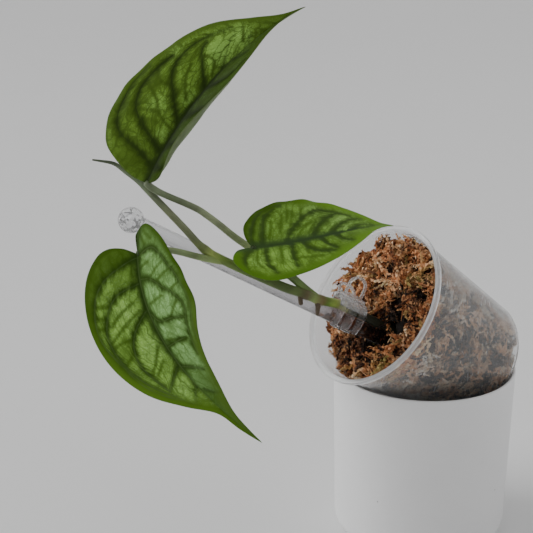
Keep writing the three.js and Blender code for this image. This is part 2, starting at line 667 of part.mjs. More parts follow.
// The gaps to cut so that only fingers are left, as spans along X.
function gapsBetween(centres, length) {
  const end = length / 2 + 1;
  const edges = [-end, ...centres.flatMap((c) => [c - FINGER_WIDTH / 2, c + FINGER_WIDTH / 2]), end];
  const ease = 0.2;
  const smallest = 1.6;
  const gaps = [];
  for (let i = 0; i < edges.length; i += 2) gaps.push({ from: edges[i] - ease, to: edges[i + 1] + ease });
  return gaps.filter((g) => g.to - g.from > smallest);
}

function hingePin() {
  const { pin, pinHead, headLength } = CLIP;
  const end = CLIP.length / 2 + GAP;
  const past = headLength / 2;
  return geometryOf(union([
    rodAlongX(pin, -end - past, end + past, 10),
    rodAlongX(pinHead, -end - headLength, -end, 10), rodAlongX(pinHead, end, end + headLength, 10),
  ]));
}

// A coil round the pin with one leg that runs up inside the back jaw's finger loop.
function spring() {
  const { radius, wire, turns, from, to, leg } = SPRING;
  const points = [];
  const perTurn = 8;
  for (let i = 0; i <= turns * perTurn; i++) {
    const a = Math.PI / 2 - (i / perTurn) * 2 * Math.PI;
    const x = from + ((to - from) * i) / (turns * perTurn);
    points.push(new THREE.Vector3(x, radius * Math.cos(a), radius * Math.sin(a)));
  }
  const clearOfTab = GAP + 2 * SLACK;
  points.push(new THREE.Vector3(to, clearOfTab - radius - leg * Math.tan(rad(CLIP.tabLean)), leg));
  return tube(points, () => wire / 2, 5, turns * perTurn + 10);
}

const clipAbove = roundStake(CLIP.lean);
const clipFront = new THREE.Vector3().crossVectors(clipAbove, stakeUp).normalize();
const clipFrame = new THREE.Matrix4().makeBasis(stakeUp, clipFront, clipAbove);
clipFrame.setPosition(onStake(CLIP.along).addScaledVector(clipAbove, CLIP.stakeBelow));

// Everything in its place

const stakeRoom = solid(stake(GAP));

// The room a blade needs in its stalk, also to both sides, with a hollow for its foot.
function bladeRoom(leaf) {
  const hollow = new THREE.SphereGeometry(FOOT_HOLLOW, 8, 6).translate(...leaf.foot);
  const across = vec(leaf.light).cross(vec(leaf.along)).setLength(GAP);
  const room = solid(blade(leaf, GAP));
  return union([
    room, room.translate(across.toArray()), room.translate(across.negate().toArray()), solid(hollow),
  ]);
}

// The stem with its leaf stalks, cut back where the blades and the stake are.
function leafyStem() {
  const grown = union([vine(), ...Object.values(STALKS).map(stalk)]).subtract(stakeRoom);
  return geometryOf(largest(Object.values(LEAVES).reduce((b, leaf) => b.subtract(bladeRoom(leaf)), grown)));
}

const looks = {
  cover: material(0xe9eaea, 0.55),
  clearPot: material(0xe6eaec, 0.15, { transparent: true, opacity: 0.35 }),
  moss: material(0xa9713f, 0.95),
  bark: material(0x4a342c, 0.9),
  clear: material(0xf0f3f5, 0.08, { transparent: true, opacity: 0.4 }),
  steel: material(0xb8bcc0, 0.3, { metalness: 1 }),
  stem: material(0x5f7a3a, 0.5),
  leaf: material(0x5d8a3c, 0.4),
};

const root = new THREE.Group();
const clearPotGroup = new THREE.Group();
clearPotGroup.applyMatrix4(potFrame);
clearPotGroup.add(mesh('clear_pot', clearPot(), looks.clearPot));
const clipGroup = new THREE.Group();
clipGroup.applyMatrix4(clipFrame);
clipGroup.add(
  mesh('clip_jaw_back', jaw('back'), looks.clear.clone()),
  mesh('clip_jaw_front', jaw('front'), looks.clear.clone()),
  mesh('clip_hinge_pin', hingePin(), looks.steel),
  mesh('clip_spring', spring(), looks.steel.clone()),
);
root.add(
  mesh('cover_pot', coverPot(), looks.cover),
  clearPotGroup,
  mesh('moss', moss([stakeRoom, vine(GAP), solid(bark(GAP + SLACK))]), looks.moss),
  mesh('bark_chip', bark(), looks.bark),
  mesh('stake', stake(), looks.clear),
  mesh('vine_stem', leafyStem(), looks.stem),
  mesh('leaf_blade_a', blade(LEAVES.a), looks.leaf),
  mesh('leaf_blade_b', blade(LEAVES.b), looks.leaf.clone()),
  mesh('leaf_blade_c', blade(LEAVES.c), looks.leaf.clone()),
  clipGroup,
);

export default root;
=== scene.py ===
# %% [markdown]
# # A potted silver monstera
# A young climbing monstera with silver leaves stands in a clear nursery pot full of moss. The
# clear pot lies tilted in the mouth of a white cover pot. A clear stake with a ball on its end
# props the stem, and a small clear claw clip holds the two together.
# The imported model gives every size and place. This lesson dresses it piece by piece: smooth
# surfaces worked out with numpy, and materials drawn with shader nodes.

# %% Load the frame
import math

import bmesh
import bpy
import numpy as np
from mathutils import Matrix, Vector


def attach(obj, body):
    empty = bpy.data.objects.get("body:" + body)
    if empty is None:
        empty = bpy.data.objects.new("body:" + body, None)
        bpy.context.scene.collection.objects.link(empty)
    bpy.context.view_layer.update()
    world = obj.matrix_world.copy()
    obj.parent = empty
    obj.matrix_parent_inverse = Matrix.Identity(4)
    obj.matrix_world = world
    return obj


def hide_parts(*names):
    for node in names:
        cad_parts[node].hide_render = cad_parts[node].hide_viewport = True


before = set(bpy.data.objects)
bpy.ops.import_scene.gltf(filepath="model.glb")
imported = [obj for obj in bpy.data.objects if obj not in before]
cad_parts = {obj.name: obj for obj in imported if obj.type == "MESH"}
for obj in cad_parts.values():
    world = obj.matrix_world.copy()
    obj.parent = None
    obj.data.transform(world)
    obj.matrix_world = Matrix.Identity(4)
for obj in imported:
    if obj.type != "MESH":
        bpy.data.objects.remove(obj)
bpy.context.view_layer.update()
BODY, JAW_BODY = "plant_and_pots", "clip_jaw"
MM = 0.001
FULL_TURN = 2 * math.pi

# %% [markdown]
# ## The camera
# The photograph was taken with a long lens, a little from above. The camera could be placed by
# eye, but then nothing lines up for long. Its place was found by fitting the round rims of both
# pots, so it is written as plain numbers: where it stands, what it looks at, how much it rolls,
# and its focal length in pixels of the photo.

# %% The camera
PHOTO_WIDTH, FOCAL_PX, ROLL_DEGREES = 533, 1484.0, 0.22
SENSOR_WIDTH = 36.0
CAMERA_AT = Vector((-0.0968, -0.8338, 0.4717))
CAMERA_AIM = Vector((-0.0968, 0.0, 0.1705))


def put(name, data):
    """A new object in the scene that shows the given data."""
    thing = bpy.data.objects.new(name, data)
    bpy.context.scene.collection.objects.link(thing)
    return thing


camera = put("camera", bpy.data.cameras.new("camera"))
camera.data.sensor_width = SENSOR_WIDTH
camera.data.lens = SENSOR_WIDTH * FOCAL_PX / PHOTO_WIDTH
camera.data.clip_end = 20.0
look = (CAMERA_AIM - CAMERA_AT).to_track_quat("-Z", "Y").to_matrix().to_4x4()
roll = Matrix.Rotation(math.radians(ROLL_DEGREES), 4, "Z")
camera.matrix_world = Matrix.Translation(CAMERA_AT) @ look @ roll
bpy.context.scene.camera = camera
print("lens", round(camera.data.lens, 1), "mm")

# %% [markdown]
# ## A small kit for meshes
# Almost every piece is a grid of places kept row by row, so a few helpers turn such a grid into
# a mesh. They could be single calls of Blender's operators, but arrays are quicker and exact.
# All shapes are worked out in millimetres and become metres only in the mesh.

# %% Helpers for meshes
def smooth_faces(piece, smooth=True):
    """Shades the faces of a piece as one smooth surface, or each of them flat."""
    piece.data.polygons.foreach_set("use_smooth", np.full(len(piece.data.polygons), smooth))


def add_mesh(name, points, faces, body=BODY):
    """A mesh object from an (n, 3) array of places in mm and a list of faces, riding on a body."""
    data = bpy.data.meshes.new(name)
    data.from_pydata((np.asarray(points) * MM).tolist(), [], [list(f) for f in faces])
    data.validate()
    piece = put(name, data)
    smooth_faces(piece)
    if body:
        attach(piece, body)
    return piece


def grid_faces(rows, columns, around=False, first=0):
    """Quads of a grid of points kept row by row; with `around` the last column meets the first."""
    row = np.arange(rows - 1)[:, None] * columns
    column = np.arange(columns if around else columns - 1)[None, :]
    right = (column + 1) % columns
    quads = [row + column, row + right, row + columns + right, row + columns + column]
    return (np.stack(quads, axis=-1).reshape(-1, 4) + first).tolist()


def closed_faces(rows, sides, first=0):
    """Quads round a tube of rings, and one face over each of its ends."""
    last = first + (rows - 1) * sides
    ends = [list(range(first, first + sides))[::-1], list(range(last, last + sides))]
    return grid_faces(rows, sides, around=True, first=first) + ends


def rows_of(*axes):
    """Arrays that broadcast together, as one list of places or pairs."""
    return np.stack(np.broadcast_arrays(*axes), axis=-1).reshape(-1, len(axes))


def ring_angles(count):
    """Evenly spaced angles of one full turn, without its end."""
    return np.linspace(0, FULL_TURN, count, endpoint=False)


def set_uv(piece, name, values):
    """Writes a UV map from one (u, v) pair a vertex."""
    layer = piece.data.uv_layers.new(name=name)
    corner = np.empty(len(piece.data.loops), dtype=np.int32)
    piece.data.loops.foreach_get("vertex_index", corner)
    layer.data.foreach_set("uv", np.asarray(values, dtype=np.float32)[corner].ravel())


def set_value(piece, name, values):
    """Writes one number a vertex as a named attribute."""
    attribute = piece.data.attributes.new(name, "FLOAT", "POINT")
    attribute.data.foreach_set("value", np.asarray(values, dtype=np.float32))


def face_middles(piece):
    """The middle of every face, in mm."""
    middles = np.empty(len(piece.data.polygons) * 3)
    piece.data.polygons.foreach_get("center", middles)
    return middles.reshape(-1, 3) / MM


def choose_finish(piece, numbers):
    """Gives every face the material with its number."""
    piece.data.polygons.foreach_set("material_index", np.asarray(numbers).astype(np.int32))


def apply_modifiers(piece):
    """Puts the result of a piece's modifiers into its own mesh."""
    shaped = piece.evaluated_get(bpy.context.evaluated_depsgraph_get())
    piece.data = bpy.data.meshes.new_from_object(shaped)
    piece.modifiers.clear()


# %% [markdown]
# ### Curves, turned bodies and tubes
# Stems, strands and leaf edges are smooth curves through a few points. A Bezier curve would
# need handles. The curve used here is a Catmull-Rom spline with knots spaced by the square root
# of the distance: it passes through every point and never loops. Swept round with a radius it
# makes a stem, and a profile carried round the Z axis makes a pot.

# %% Curves
SPAN_STEPS = 40
TINY = 1e-9


def unit(vectors):
    """The same directions with length 1."""
    return vectors / np.maximum(np.linalg.norm(vectors, axis=-1, keepdims=True), 1e-12)


def run_along(points):
    """The length of a path up to each of its points."""
    return np.concatenate([[0], np.cumsum(np.linalg.norm(np.diff(points, axis=0), axis=1))])


def hump(distance, width):
    """A bell that is 1 at no distance and fades over its width."""
    return np.exp(-(distance / width) ** 2)


def smooth_path(points, count):
    """Places evenly spaced along a centripetal Catmull-Rom curve, and its length: in each span
    between points 1 and 2, straight mixes of neighbours are mixed again twice, weighted by knots
    whose spacing is the square root of the distance between points."""
    p = np.asarray(points, dtype=float)
    p = np.vstack([2 * p[0] - p[1], p, 2 * p[-1] - p[-2]])
    dense = []
    for first in range(len(p) - 3):
        near = p[first:first + 4]
        gaps = np.maximum(np.linalg.norm(np.diff(near, axis=0), axis=1), TINY) ** 0.5
        knots = np.concatenate([[0], np.cumsum(gaps)])
        t = np.linspace(knots[1], knots[2], SPAN_STEPS)[:, None]

        def mixed(a, b, low, high):
            width = knots[high] - knots[low]
            return (knots[high] - t) / width * a + (t - knots[low]) / width * b

        ab, bc, cd = [mixed(near[i], near[i + 1], i, i + 1) for i in range(3)]
        span = mixed(mixed(ab, bc, 0, 2), mixed(bc, cd, 1, 3), 1, 2)
        dense.append(span if first == 0 else span[1:])
    dense = np.vstack(dense)
    run = run_along(dense)
    even = np.linspace(0, run[-1], count)
    return np.stack([np.interp(even, run, axis) for axis in dense.T], axis=1), run[-1]


def path_frames(path):
    """Three directions at every point of a path: ahead, and two across that twist as little as
    possible. Each across is the one before it with its part along the path taken away."""
    ahead = unit(np.gradient(path, axis=0))
    side = np.zeros_like(path)
    start = np.eye(3)[np.argmin(np.abs(ahead[0]))]
    side[0] = unit(start - start.dot(ahead[0]) * ahead[0])
    for i in range(1, len(path)):
        side[i] = unit(side[i - 1] - side[i - 1].dot(ahead[i]) * ahead[i])
    return ahead, side, np.cross(ahead, side)


def arc(cx, cy, rx, ry, start, end, steps):
    """Points of a part of an ellipse, angles in degrees."""
    t = np.radians(np.linspace(start, end, steps + 1))
    return np.stack([cx + rx * np.cos(t), cy + ry * np.sin(t)], axis=1)


# %% Tubes and turned bodies
END_SHRINK, END_REACH = 0.55, 0.45


def tube_mesh(name, path, radii, sides, squeeze=1.0):
    """A closed tube: at every point of the path a circle of the radius there, the ends closed by
    smaller rings and a cap. UV runs once along (u) and once round (v). `squeeze` scales each
    ring as an array (rings, sides), for grooves and bumps."""
    ahead, side, other = path_frames(path)
    ring = ring_angles(sides)[None, :, None]
    around = np.cos(ring) * side[:, None] + np.sin(ring) * other[:, None]
    size = np.asarray(radii, dtype=float)[:, None] * np.ones(sides) * squeeze
    rings = path[:, None] + around * size[:, :, None]
    first, last = [path[i] + (rings[i] - path[i]) * END_SHRINK
                   + way * ahead[i] * size[i].mean() * END_REACH for i, way in ((0, -1), (-1, 1))]
    points = np.vstack([first[None], rings, last[None]]).reshape(-1, 3)
    rows = len(path) + 2
    piece = add_mesh(name, points, [f[::-1] for f in closed_faces(rows, sides)])
    u = np.clip((np.arange(rows) - 1) / (len(path) - 1), 0, 1)
    set_uv(piece, "along", rows_of(u[:, None], np.arange(sides) / sides))
    return piece


def frame_matrix(x, y, z, origin):
    """A 4 by 4 matrix with the given axes and origin."""
    matrix = np.eye(4)
    matrix[:3] = np.stack([x, y, z, origin], axis=1)
    return matrix


def from_frame(matrix, points):
    """Places given in the frame of a matrix, moved into the shared frame."""
    return points @ matrix[:3, :3].T + matrix[:3, 3]


def lathe_mesh(name, profile, sides, place=np.eye(4)):
    """A turned body: each (radius, height) of the profile is carried once round the Z axis. The
    profile starts and ends on the axis, which closes it. `place` then sets it in the frame."""
    profile = np.asarray(profile, dtype=float)
    radius, height = profile[1:-1, :1], profile[1:-1, 1:]
    angle = ring_angles(sides)
    points = rows_of(radius * np.cos(angle), radius * np.sin(angle), height)
    points = np.vstack([points, [[0, 0, profile[0, 1]], [0, 0, profile[-1, 1]]]])
    last = (len(radius) - 1) * sides
    here = np.arange(sides)
    onward = (here + 1) % sides
    pole = np.full(sides, last + sides)
    faces = grid_faces(len(radius), sides, around=True)
    faces += np.stack([pole, onward, here], axis=1).tolist()
    faces += np.stack([pole + 1, last + here, last + onward], axis=1).tolist()
    return add_mesh(name, from_frame(place, points), faces)


# %% [markdown]
# ### A pen for shader nodes
# A material could be joined up by hand in the shader editor. In a script the pen does it: each
# method adds one node and hands back its output as a wire, and the signs + - * / between wires
# add Math nodes, so that a pattern reads as a formula.

# %% The pen
class Wire:
    """One output of a node, ready for a formula."""

    def __init__(self, pen, socket):
        self.pen, self.socket = pen, socket

    def __add__(self, other):
        return self.pen.math("ADD", self, other)

    def __sub__(self, other):
        return self.pen.math("SUBTRACT", self, other)

    def __rsub__(self, other):
        return self.pen.math("SUBTRACT", other, self)

    def __mul__(self, other):
        return self.pen.math("MULTIPLY", self, other)

    def __truediv__(self, other):
        return self.pen.math("DIVIDE", self, other)


class Pen:
    """Draws nodes into a tree."""

    def __init__(self, tree):
        self.tree = tree

    def feed(self, socket, value):
        """Joins a wire to a socket, or writes a plain value there; a colour is three numbers."""
        if isinstance(value, Wire):
            self.tree.links.new(value.socket, socket)
        else:
            socket.default_value = (*value, 1) if socket.type == "RGBA" else value

    def wire(self, kind, inputs, output=0, **settings):
        """Adds a shader node, feeds its inputs and hands back one of its outputs."""
        node = self.tree.nodes.new("ShaderNode" + kind)
        for key, value in settings.items():
            setattr(node, key, value)
        for key, value in inputs.items():
            self.feed(node.inputs[key], value)
        return Wire(self, node.outputs[output])

    def math(self, operation, a, b=0.0, clamp=False):
        return self.wire("Math", {0: a, 1: b}, operation=operation, use_clamp=clamp)

    def vector(self, operation, inputs, output=0):
        return self.wire("VectorMath", inputs, output, operation=operation)

    def step(self, value, low, high, start=0.0, end=1.0):
        """A smooth rise of `value` between low and high, from start to end."""
        inputs = {"Value": value, "From Min": low, "From Max": high, "To Min": start, "To Max": end}
        return self.wire("MapRange", inputs, interpolation_type="SMOOTHSTEP")

    def mix(self, share, a, b, blend="MIX"):
        return self.wire("Mix", {0: share, 6: a, 7: b}, 2, data_type="RGBA", blend_type=blend)

    def shade(self, color, brightness):
        """A colour times one number."""
        grey = self.wire("CombineColor", {0: brightness, 1: brightness, 2: brightness})
        return self.mix(1.0, color, grey, "MULTIPLY")

    def noise(self, vector, scale, detail=3.0, roughness=0.5):
        inputs = {"Vector": vector, "Scale": scale, "Detail": detail, "Roughness": roughness}
        return self.wire("TexNoise", inputs, "Fac")

    def cells(self, vector, scale, feature="DISTANCE_TO_EDGE"):
        return self.wire("TexVoronoi", {"Vector": vector, "Scale": scale}, feature=feature)

    def place(self, vector, scale, turn=(0, 0, 0)):
        return self.wire("Mapping", {"Vector": vector, "Scale": scale, "Rotation": turn})

    def bump(self, height, strength, distance, over=None):
        """The surface direction of a height, added to a direction that is already bent."""
        inputs = {"Height": height, "Strength": strength, "Distance": distance}
        return self.wire("Bump", inputs if over is None else {**inputs, "Normal": over})

    def ramp(self, value, stops):
        """A number made a colour by a ramp of (place, colour) pairs."""
        color = self.wire("ValToRGB", {"Fac": value}, "Color")
        elements = color.socket.node.color_ramp.elements
        for element, (at, shade) in zip(elements, (stops[0], stops[-1])):
            element.position, element.color = at, (*shade, 1)
        for at, shade in stops[1:-1]:
            elements.new(at).color = (*shade, 1)
        return color

    def axes(self, vector):
        """The first two numbers of a vector."""
        split = self.wire("SeparateXYZ", {0: vector}).socket.node
        return Wire(self, split.outputs[0]), Wire(self, split.outputs[1])

    def object_place(self):
        return self.wire("TexCoord", {}, "Object")

    def uv(self, name):
        return self.wire("UVMap", {}, uv_map=name)

    def value(self, name):
        return self.wire("Attribute", {}, "Fac", attribute_name=name)


def start_material(name, values):
    """A material whose shader has the given values. Returns it, a pen and the shader's inputs."""
    material = bpy.data.materials.new(name)
    material.use_nodes = True
    pen = Pen(material.node_tree)
    inputs = material.node_tree.nodes["Principled BSDF"].inputs
    for key, value in values.items():
        pen.feed(inputs[key], value)
    return material, pen, inputs


def shader_group(name, inputs, outputs):
    """An empty node group with named sockets: a number makes a number socket, three numbers a
    colour and None a vector. Returns the group, a pen for it, its entries and its output node."""
    group = bpy.data.node_groups.new(name, "ShaderNodeTree")
    for key, default in inputs.items():
        kind = "Vector" if default is None else "Color" if isinstance(default, tuple) else "Float"
        socket = group.interface.new_socket(
            key, in_out="INPUT", socket_type="NodeSocket" + kind)
        if default is not None:
            socket.default_value = (*default, 1) if kind == "Color" else default
    for key, kind in outputs.items():
        group.interface.new_socket(key, in_out="OUTPUT", socket_type="NodeSocket" + kind)
    pen = Pen(group)
    entries = {s.name: Wire(pen, s) for s in group.nodes.new("NodeGroupInput").outputs}
    return group, pen, entries, group.nodes.new("NodeGroupOutput")


def use_group(pen, group, inputs):
    """Places a group in a material with its own values and returns its outputs by name."""
    node = pen.tree.nodes.new("ShaderNodeGroup")
    node.node_tree = group
    for key, value in inputs.items():
        pen.feed(node.inputs[key], value)
    return {socket.name: Wire(pen, socket) for socket in node.outputs}


# %% [markdown]
# ### Mottle, a group that several finishes share
# Nothing that grew or was moulded has one flat colour. A painted image could vary it, but the
# mottle group does it with no file: it mixes two colours by two sizes of noise and also gives a
# height for a fine bump, so glaze, bark and root skin all use it.

# %% The mottle group
COARSE_SHARE, FINE_SHARE, FINE_TIMES = 0.65, 0.35, 6.0
mottle, pen, entry, leave = shader_group(
    "mottle",
    {"Vector": None, "Scale": 60.0, "Dark": (0.2, 0.2, 0.2), "Light": (0.8, 0.8, 0.8),
     "Contrast": 0.5},
    {"Color": "Color", "Height": "Float"})
coarse = pen.noise(entry["Vector"], entry["Scale"], detail=4.0)
fine = pen.noise(entry["Vector"], entry["Scale"] * FINE_TIMES)
both = coarse * COARSE_SHARE + fine * FINE_SHARE
share = pen.math("ADD", (both - 0.5) * entry["Contrast"], 0.5, clamp=True)
pen.feed(leave.inputs["Color"], pen.mix(share, entry["Dark"], entry["Light"]))
pen.feed(leave.inputs["Height"], both)
print("mottle group:", len(mottle.nodes), "nodes")


def mottled_material(name, values, pattern, bump, stretch=None):
    """A material coloured by the mottle group, whose height makes a bump of the given strength
    and distance. `stretch` scales the pattern along x, y and z."""
    material, pen, inputs = start_material(name, values)
    place = pen.object_place()
    if stretch:
        place = pen.place(place, stretch)
    skin = use_group(pen, mottle, {"Vector": place, **pattern})
    pen.feed(inputs["Base Color"], skin["Color"])
    pen.feed(inputs["Normal"], pen.bump(skin["Height"], *bump))
    return material, pen, inputs, skin["Color"]


# %% [markdown]
# ## Floor, backdrop and light
# The plant stands in a plain pale studio. A floor and a wall could be two planes, but the line
# between them would show, so one sheet runs back and bends up. A very wide soft light from the
# upper left, like a large window, makes the left of the white pot bright. A weak one from the
# right lifts its other side. Both are suns with a wide angle, not area lamps, so the paper far
# back is lit as evenly as the floor. The pale world fills the rest.

# %% Floor, backdrop and lamps
STUDIO_GREY, WORLD_LIGHT = 0.82, 0.41
SUNS = {"window light": (2.8, (-0.86, 0.1, 0.5), 70), "fill light": (0.95, (0.95, 0.1, 0.3), 80)}
SHEET_BEND, SHEET_REACH, SHEET_BACK, SHEET_HIGH = 600, 4000, 1600, 4000


def backdrop_sheet():
    """The floor, a quarter circle and the wall as one profile in y and z, drawn out along x."""
    angle = np.linspace(0, math.pi / 2, 24)
    back = SHEET_BACK + SHEET_BEND * np.sin(angle)
    y = np.concatenate([[-SHEET_REACH], back, [SHEET_BACK + SHEET_BEND]])
    z = np.concatenate([[0.0], SHEET_BEND - SHEET_BEND * np.cos(angle), [SHEET_HIGH]])
    x = np.array([-SHEET_REACH, SHEET_REACH])
    return rows_of(x, y[:, None], z[:, None]), grid_faces(len(y), 2)


backdrop = add_mesh("backdrop", *backdrop_sheet(), body=None)
paper = start_material("studio paper", {"Base Color": (STUDIO_GREY,) * 3, "Roughness": 0.95})[0]
backdrop.data.materials.append(paper)
for name, (strength, comes_from, softness) in SUNS.items():
    lamp = bpy.data.lights.new(name, "SUN")
    lamp.energy, lamp.angle = strength, math.radians(softness)
    turn = Vector(comes_from).to_track_quat("Z", "Y")
    put(name, lamp).matrix_world = turn.to_matrix().to_4x4()
world = bpy.data.worlds.new("studio")
world.use_nodes = True
air = world.node_tree.nodes["Background"].inputs
air["Color"].default_value, air["Strength"].default_value = (1, 1, 1, 1), WORLD_LIGHT
bpy.context.scene.world = world
print("studio with", list(SUNS), "and a world of", WORLD_LIGHT)

# %% [markdown]
# ## The white cover pot
# A plain white pot, nearly straight, with a rounded foot and a rolled rim. A cylinder with a
# bevel would come close, but one profile turned round gives its true wall, rim and inside. Its
# glaze is satin white: a faint mottle, and very few small specks where cells of a pattern are
# smallest and a wide noise lets them through.

# %% The cover pot
COVER_RIM, COVER_SHOULDER, COVER_FOOT = 55.3, 53.0, 46.0
COVER_HEIGHT, COVER_CORNER, COVER_WALL, COVER_FLOOR = 107.8, 10.0, 1.8, 3.0
POT_SIDES = 128

bend = COVER_SHOULDER - COVER_FOOT
lip = COVER_WALL / 2
outer = arc(COVER_FOOT, COVER_CORNER, bend, COVER_CORNER, -90, 0, 16)
rise = np.linspace(0, 1, 14)[1:-1, None]
outer_wall = outer[-1] + rise * (np.array([COVER_RIM, COVER_HEIGHT - lip]) - outer[-1])
rim = arc(COVER_RIM - lip, COVER_HEIGHT - lip, lip, lip, 0, 180, 12)
inner = arc(COVER_FOOT - COVER_WALL, COVER_CORNER, bend, COVER_CORNER - COVER_FLOOR, 0, -90, 12)
cover_profile = np.vstack([[0, 0], outer, outer_wall, rim, inner, [0, COVER_FLOOR]])
cover_pot = lathe_mesh("cover_pot_glazed", cover_profile, POT_SIDES)
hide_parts("cover_pot")

glaze, pen, inputs, white = mottled_material(
    "satin white glaze", {"Base Color": (0.8, 0.8, 0.8), "Roughness": 0.42},
    {"Scale": 22.0, "Dark": (0.74, 0.74, 0.745), "Light": (0.82, 0.82, 0.82), "Contrast": 1.0},
    (0.12, 0.0006))
place = pen.object_place()
speck = pen.step(pen.cells(place, 95.0, "F1"), 0.035, 0.055)
thinned = pen.math("MAXIMUM", speck, pen.step(pen.noise(place, 40.0), 0.66, 0.62))
pen.feed(inputs["Base Color"], pen.mix(thinned, (0.3, 0.29, 0.28), white))
cover_pot.data.materials.append(glaze)
print("cover pot", len(cover_pot.data.polygons), "faces")

# %% [markdown]
# ## The clear pot
# A thin tapered nursery pot of clear plastic with a turned-out lip and drain holes in its floor.
# It could be a cone with a Solidify modifier, but the lip and the small inner corners need the
# whole profile. Its own frame has +Z out of the mouth, and one matrix sets it at its tilt. The
# holes are cut by a Boolean, which keeps the shell closed.

# %% The clear pot's frame
MOUTH = np.array([-35.5, -25.1, 157.1])
MOUTH_AZIMUTH, MOUTH_ELEVATION = math.radians(211.3), math.radians(34.83)
flat_share = math.cos(MOUTH_ELEVATION)
mouth_axis = np.array([flat_share * math.cos(MOUTH_AZIMUTH),
                       flat_share * math.sin(MOUTH_AZIMUTH), math.sin(MOUTH_ELEVATION)])
uphill = unit(np.array([0, 0, 1.0]) - mouth_axis[2] * mouth_axis)
pot_frame = frame_matrix(np.cross(uphill, mouth_axis), uphill, mouth_axis, MOUTH)
print("the mouth looks along", mouth_axis.round(3))


def from_pot(points):
    """Places in the clear pot's frame, moved into the shared frame."""
    return from_frame(pot_frame, points)


def turn_pot(directions):
    """Directions in the clear pot's frame, turned into the shared frame."""
    return directions @ pot_frame[:3, :3].T


def into_pot(points):
    """Places of the shared frame, as the clear pot's frame has them."""
    return (points - MOUTH) @ pot_frame[:3, :3]


# %% The clear pot's shell
LIP, LIP_DEPTH, LIP_WALL, LIP_ROUND, FILLET = 50.0, 3.2, 1.1, 0.5, 0.7
NECK, BASE, POT_LENGTH, POT_WALL, POT_CORNER = 48.0, 38.4, 93.2, 1.2, 2.5
TAPER = (NECK - BASE) / POT_LENGTH
WALL_TOP, INNER_TOP, WALL_RINGS = -LIP_DEPTH - 1.2, -2.6, 16


def wall_radius(z):
    """Outer radius of the clear pot at height z below its mouth."""
    return NECK + z * TAPER


low = -POT_LENGTH + POT_CORNER
mouth = LIP - LIP_WALL
heights = np.linspace(low, WALL_TOP, WALL_RINGS)
inner_heights = np.linspace(INNER_TOP, low + POT_WALL, WALL_RINGS)
clear_profile = np.vstack([
    [0, -POT_LENGTH], arc(BASE - POT_CORNER, low, POT_CORNER, POT_CORNER, -90, -8, 6),
    np.stack([wall_radius(heights), heights], axis=1),
    arc(wall_radius(-LIP_DEPTH) + FILLET, -LIP_DEPTH - FILLET, FILLET, FILLET, 180, 90, 4),
    arc(LIP - LIP_ROUND, -LIP_DEPTH + LIP_ROUND, LIP_ROUND, LIP_ROUND, -90, 0, 3),
    arc(LIP - LIP_ROUND, -LIP_ROUND, LIP_ROUND, LIP_ROUND, 0, 90, 4),
    [mouth - 0.6, 0], [mouth - 1.5, -0.5],
    np.stack([wall_radius(inner_heights) - POT_WALL, inner_heights], axis=1),
    arc(BASE - POT_CORNER - POT_WALL, low + 0.2, POT_CORNER, POT_CORNER - POT_WALL, -8, -90, 4),
    [0, -POT_LENGTH + POT_WALL]])
clear_pot = lathe_mesh("clear_pot_shell", clear_profile, POT_SIDES, pot_frame)
print("clear pot: profile of", len(clear_profile), "points")

# %% The drain holes
DRAIN_RING, DRAIN_RADIUS, DRAINS = 25.0, 3.0, 6
DRILL_SIDES, DRILL_REACH = 20, 3


def drain_drill():
    """Closed round plugs through the floor, one at the centre and the rest on a ring."""
    angle = ring_angles(DRILL_SIDES)
    ring = (np.arange(DRAINS) + 0.5) / DRAINS * FULL_TURN
    on_ring = np.stack([np.cos(ring), np.sin(ring)], axis=1) * DRAIN_RING
    disc = np.stack([np.cos(angle), np.sin(angle)], axis=1) * DRAIN_RADIUS
    points, faces = [], []
    for centre in np.vstack([[0, 0], on_ring]):
        faces += closed_faces(2, DRILL_SIDES, first=len(points))
        for z in (-POT_LENGTH - DRILL_REACH, -POT_LENGTH + DRILL_REACH):
            points += np.column_stack([disc + centre, np.full(DRILL_SIDES, z)]).tolist()
    return add_mesh("drain_drill", from_pot(np.array(points)), faces, body=None)


drill = drain_drill()
cut = clear_pot.modifiers.new("drains", "BOOLEAN")
cut.object = drill
cut.operation = "DIFFERENCE"
apply_modifiers(clear_pot)
bpy.data.objects.remove(drill)
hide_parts("clear_pot")
print("clear pot:", DRAINS + 1, "holes cut,", len(clear_pot.data.polygons), "faces")

# %% [markdown]
# ### Frosted clear plastic
# Damp and fine scratches make the plastic a little cloudy, so what is behind it looks soft. A
# mix with a transparent shader would keep edges sharp. Transmission with a roughness that
# changes over the wall blurs the moss as in the photo. The lip is thicker and cloudier, so its
# faces get a finish of their own.

# %% Frosted clear plastic
LIP_SLACK = 0.3


def frosted_plastic(name, clarity, low, high):
    """Cloudy clear plastic: `clarity` is the share of light that goes through, and the roughness
    runs from low to high with a soft noise, plus fine scratches of a stretched noise."""
    material, pen, inputs = start_material(name, {
        "Base Color": (0.93, 0.935, 0.94), "Roughness": low, "Sheen Weight": 0.15,
        "Sheen Roughness": 0.45, "IOR": 1.25, "Transmission Weight": clarity})
    place = pen.object_place()
    cloud = pen.noise(place, 40.0, detail=4.0)
    scratch = pen.noise(pen.place(place, (900, 40, 260), (0.4, 0.6, 0.2)), 1.0, detail=2.0)
    haze = pen.step(cloud, 0.35, 0.75, low, high) + pen.step(scratch, 0.62, 0.75, 0.0, 0.1)
    pen.feed(inputs["Roughness"], haze)
    pen.feed(inputs["Normal"], pen.bump(cloud, 0.04, 0.0005))
    return material


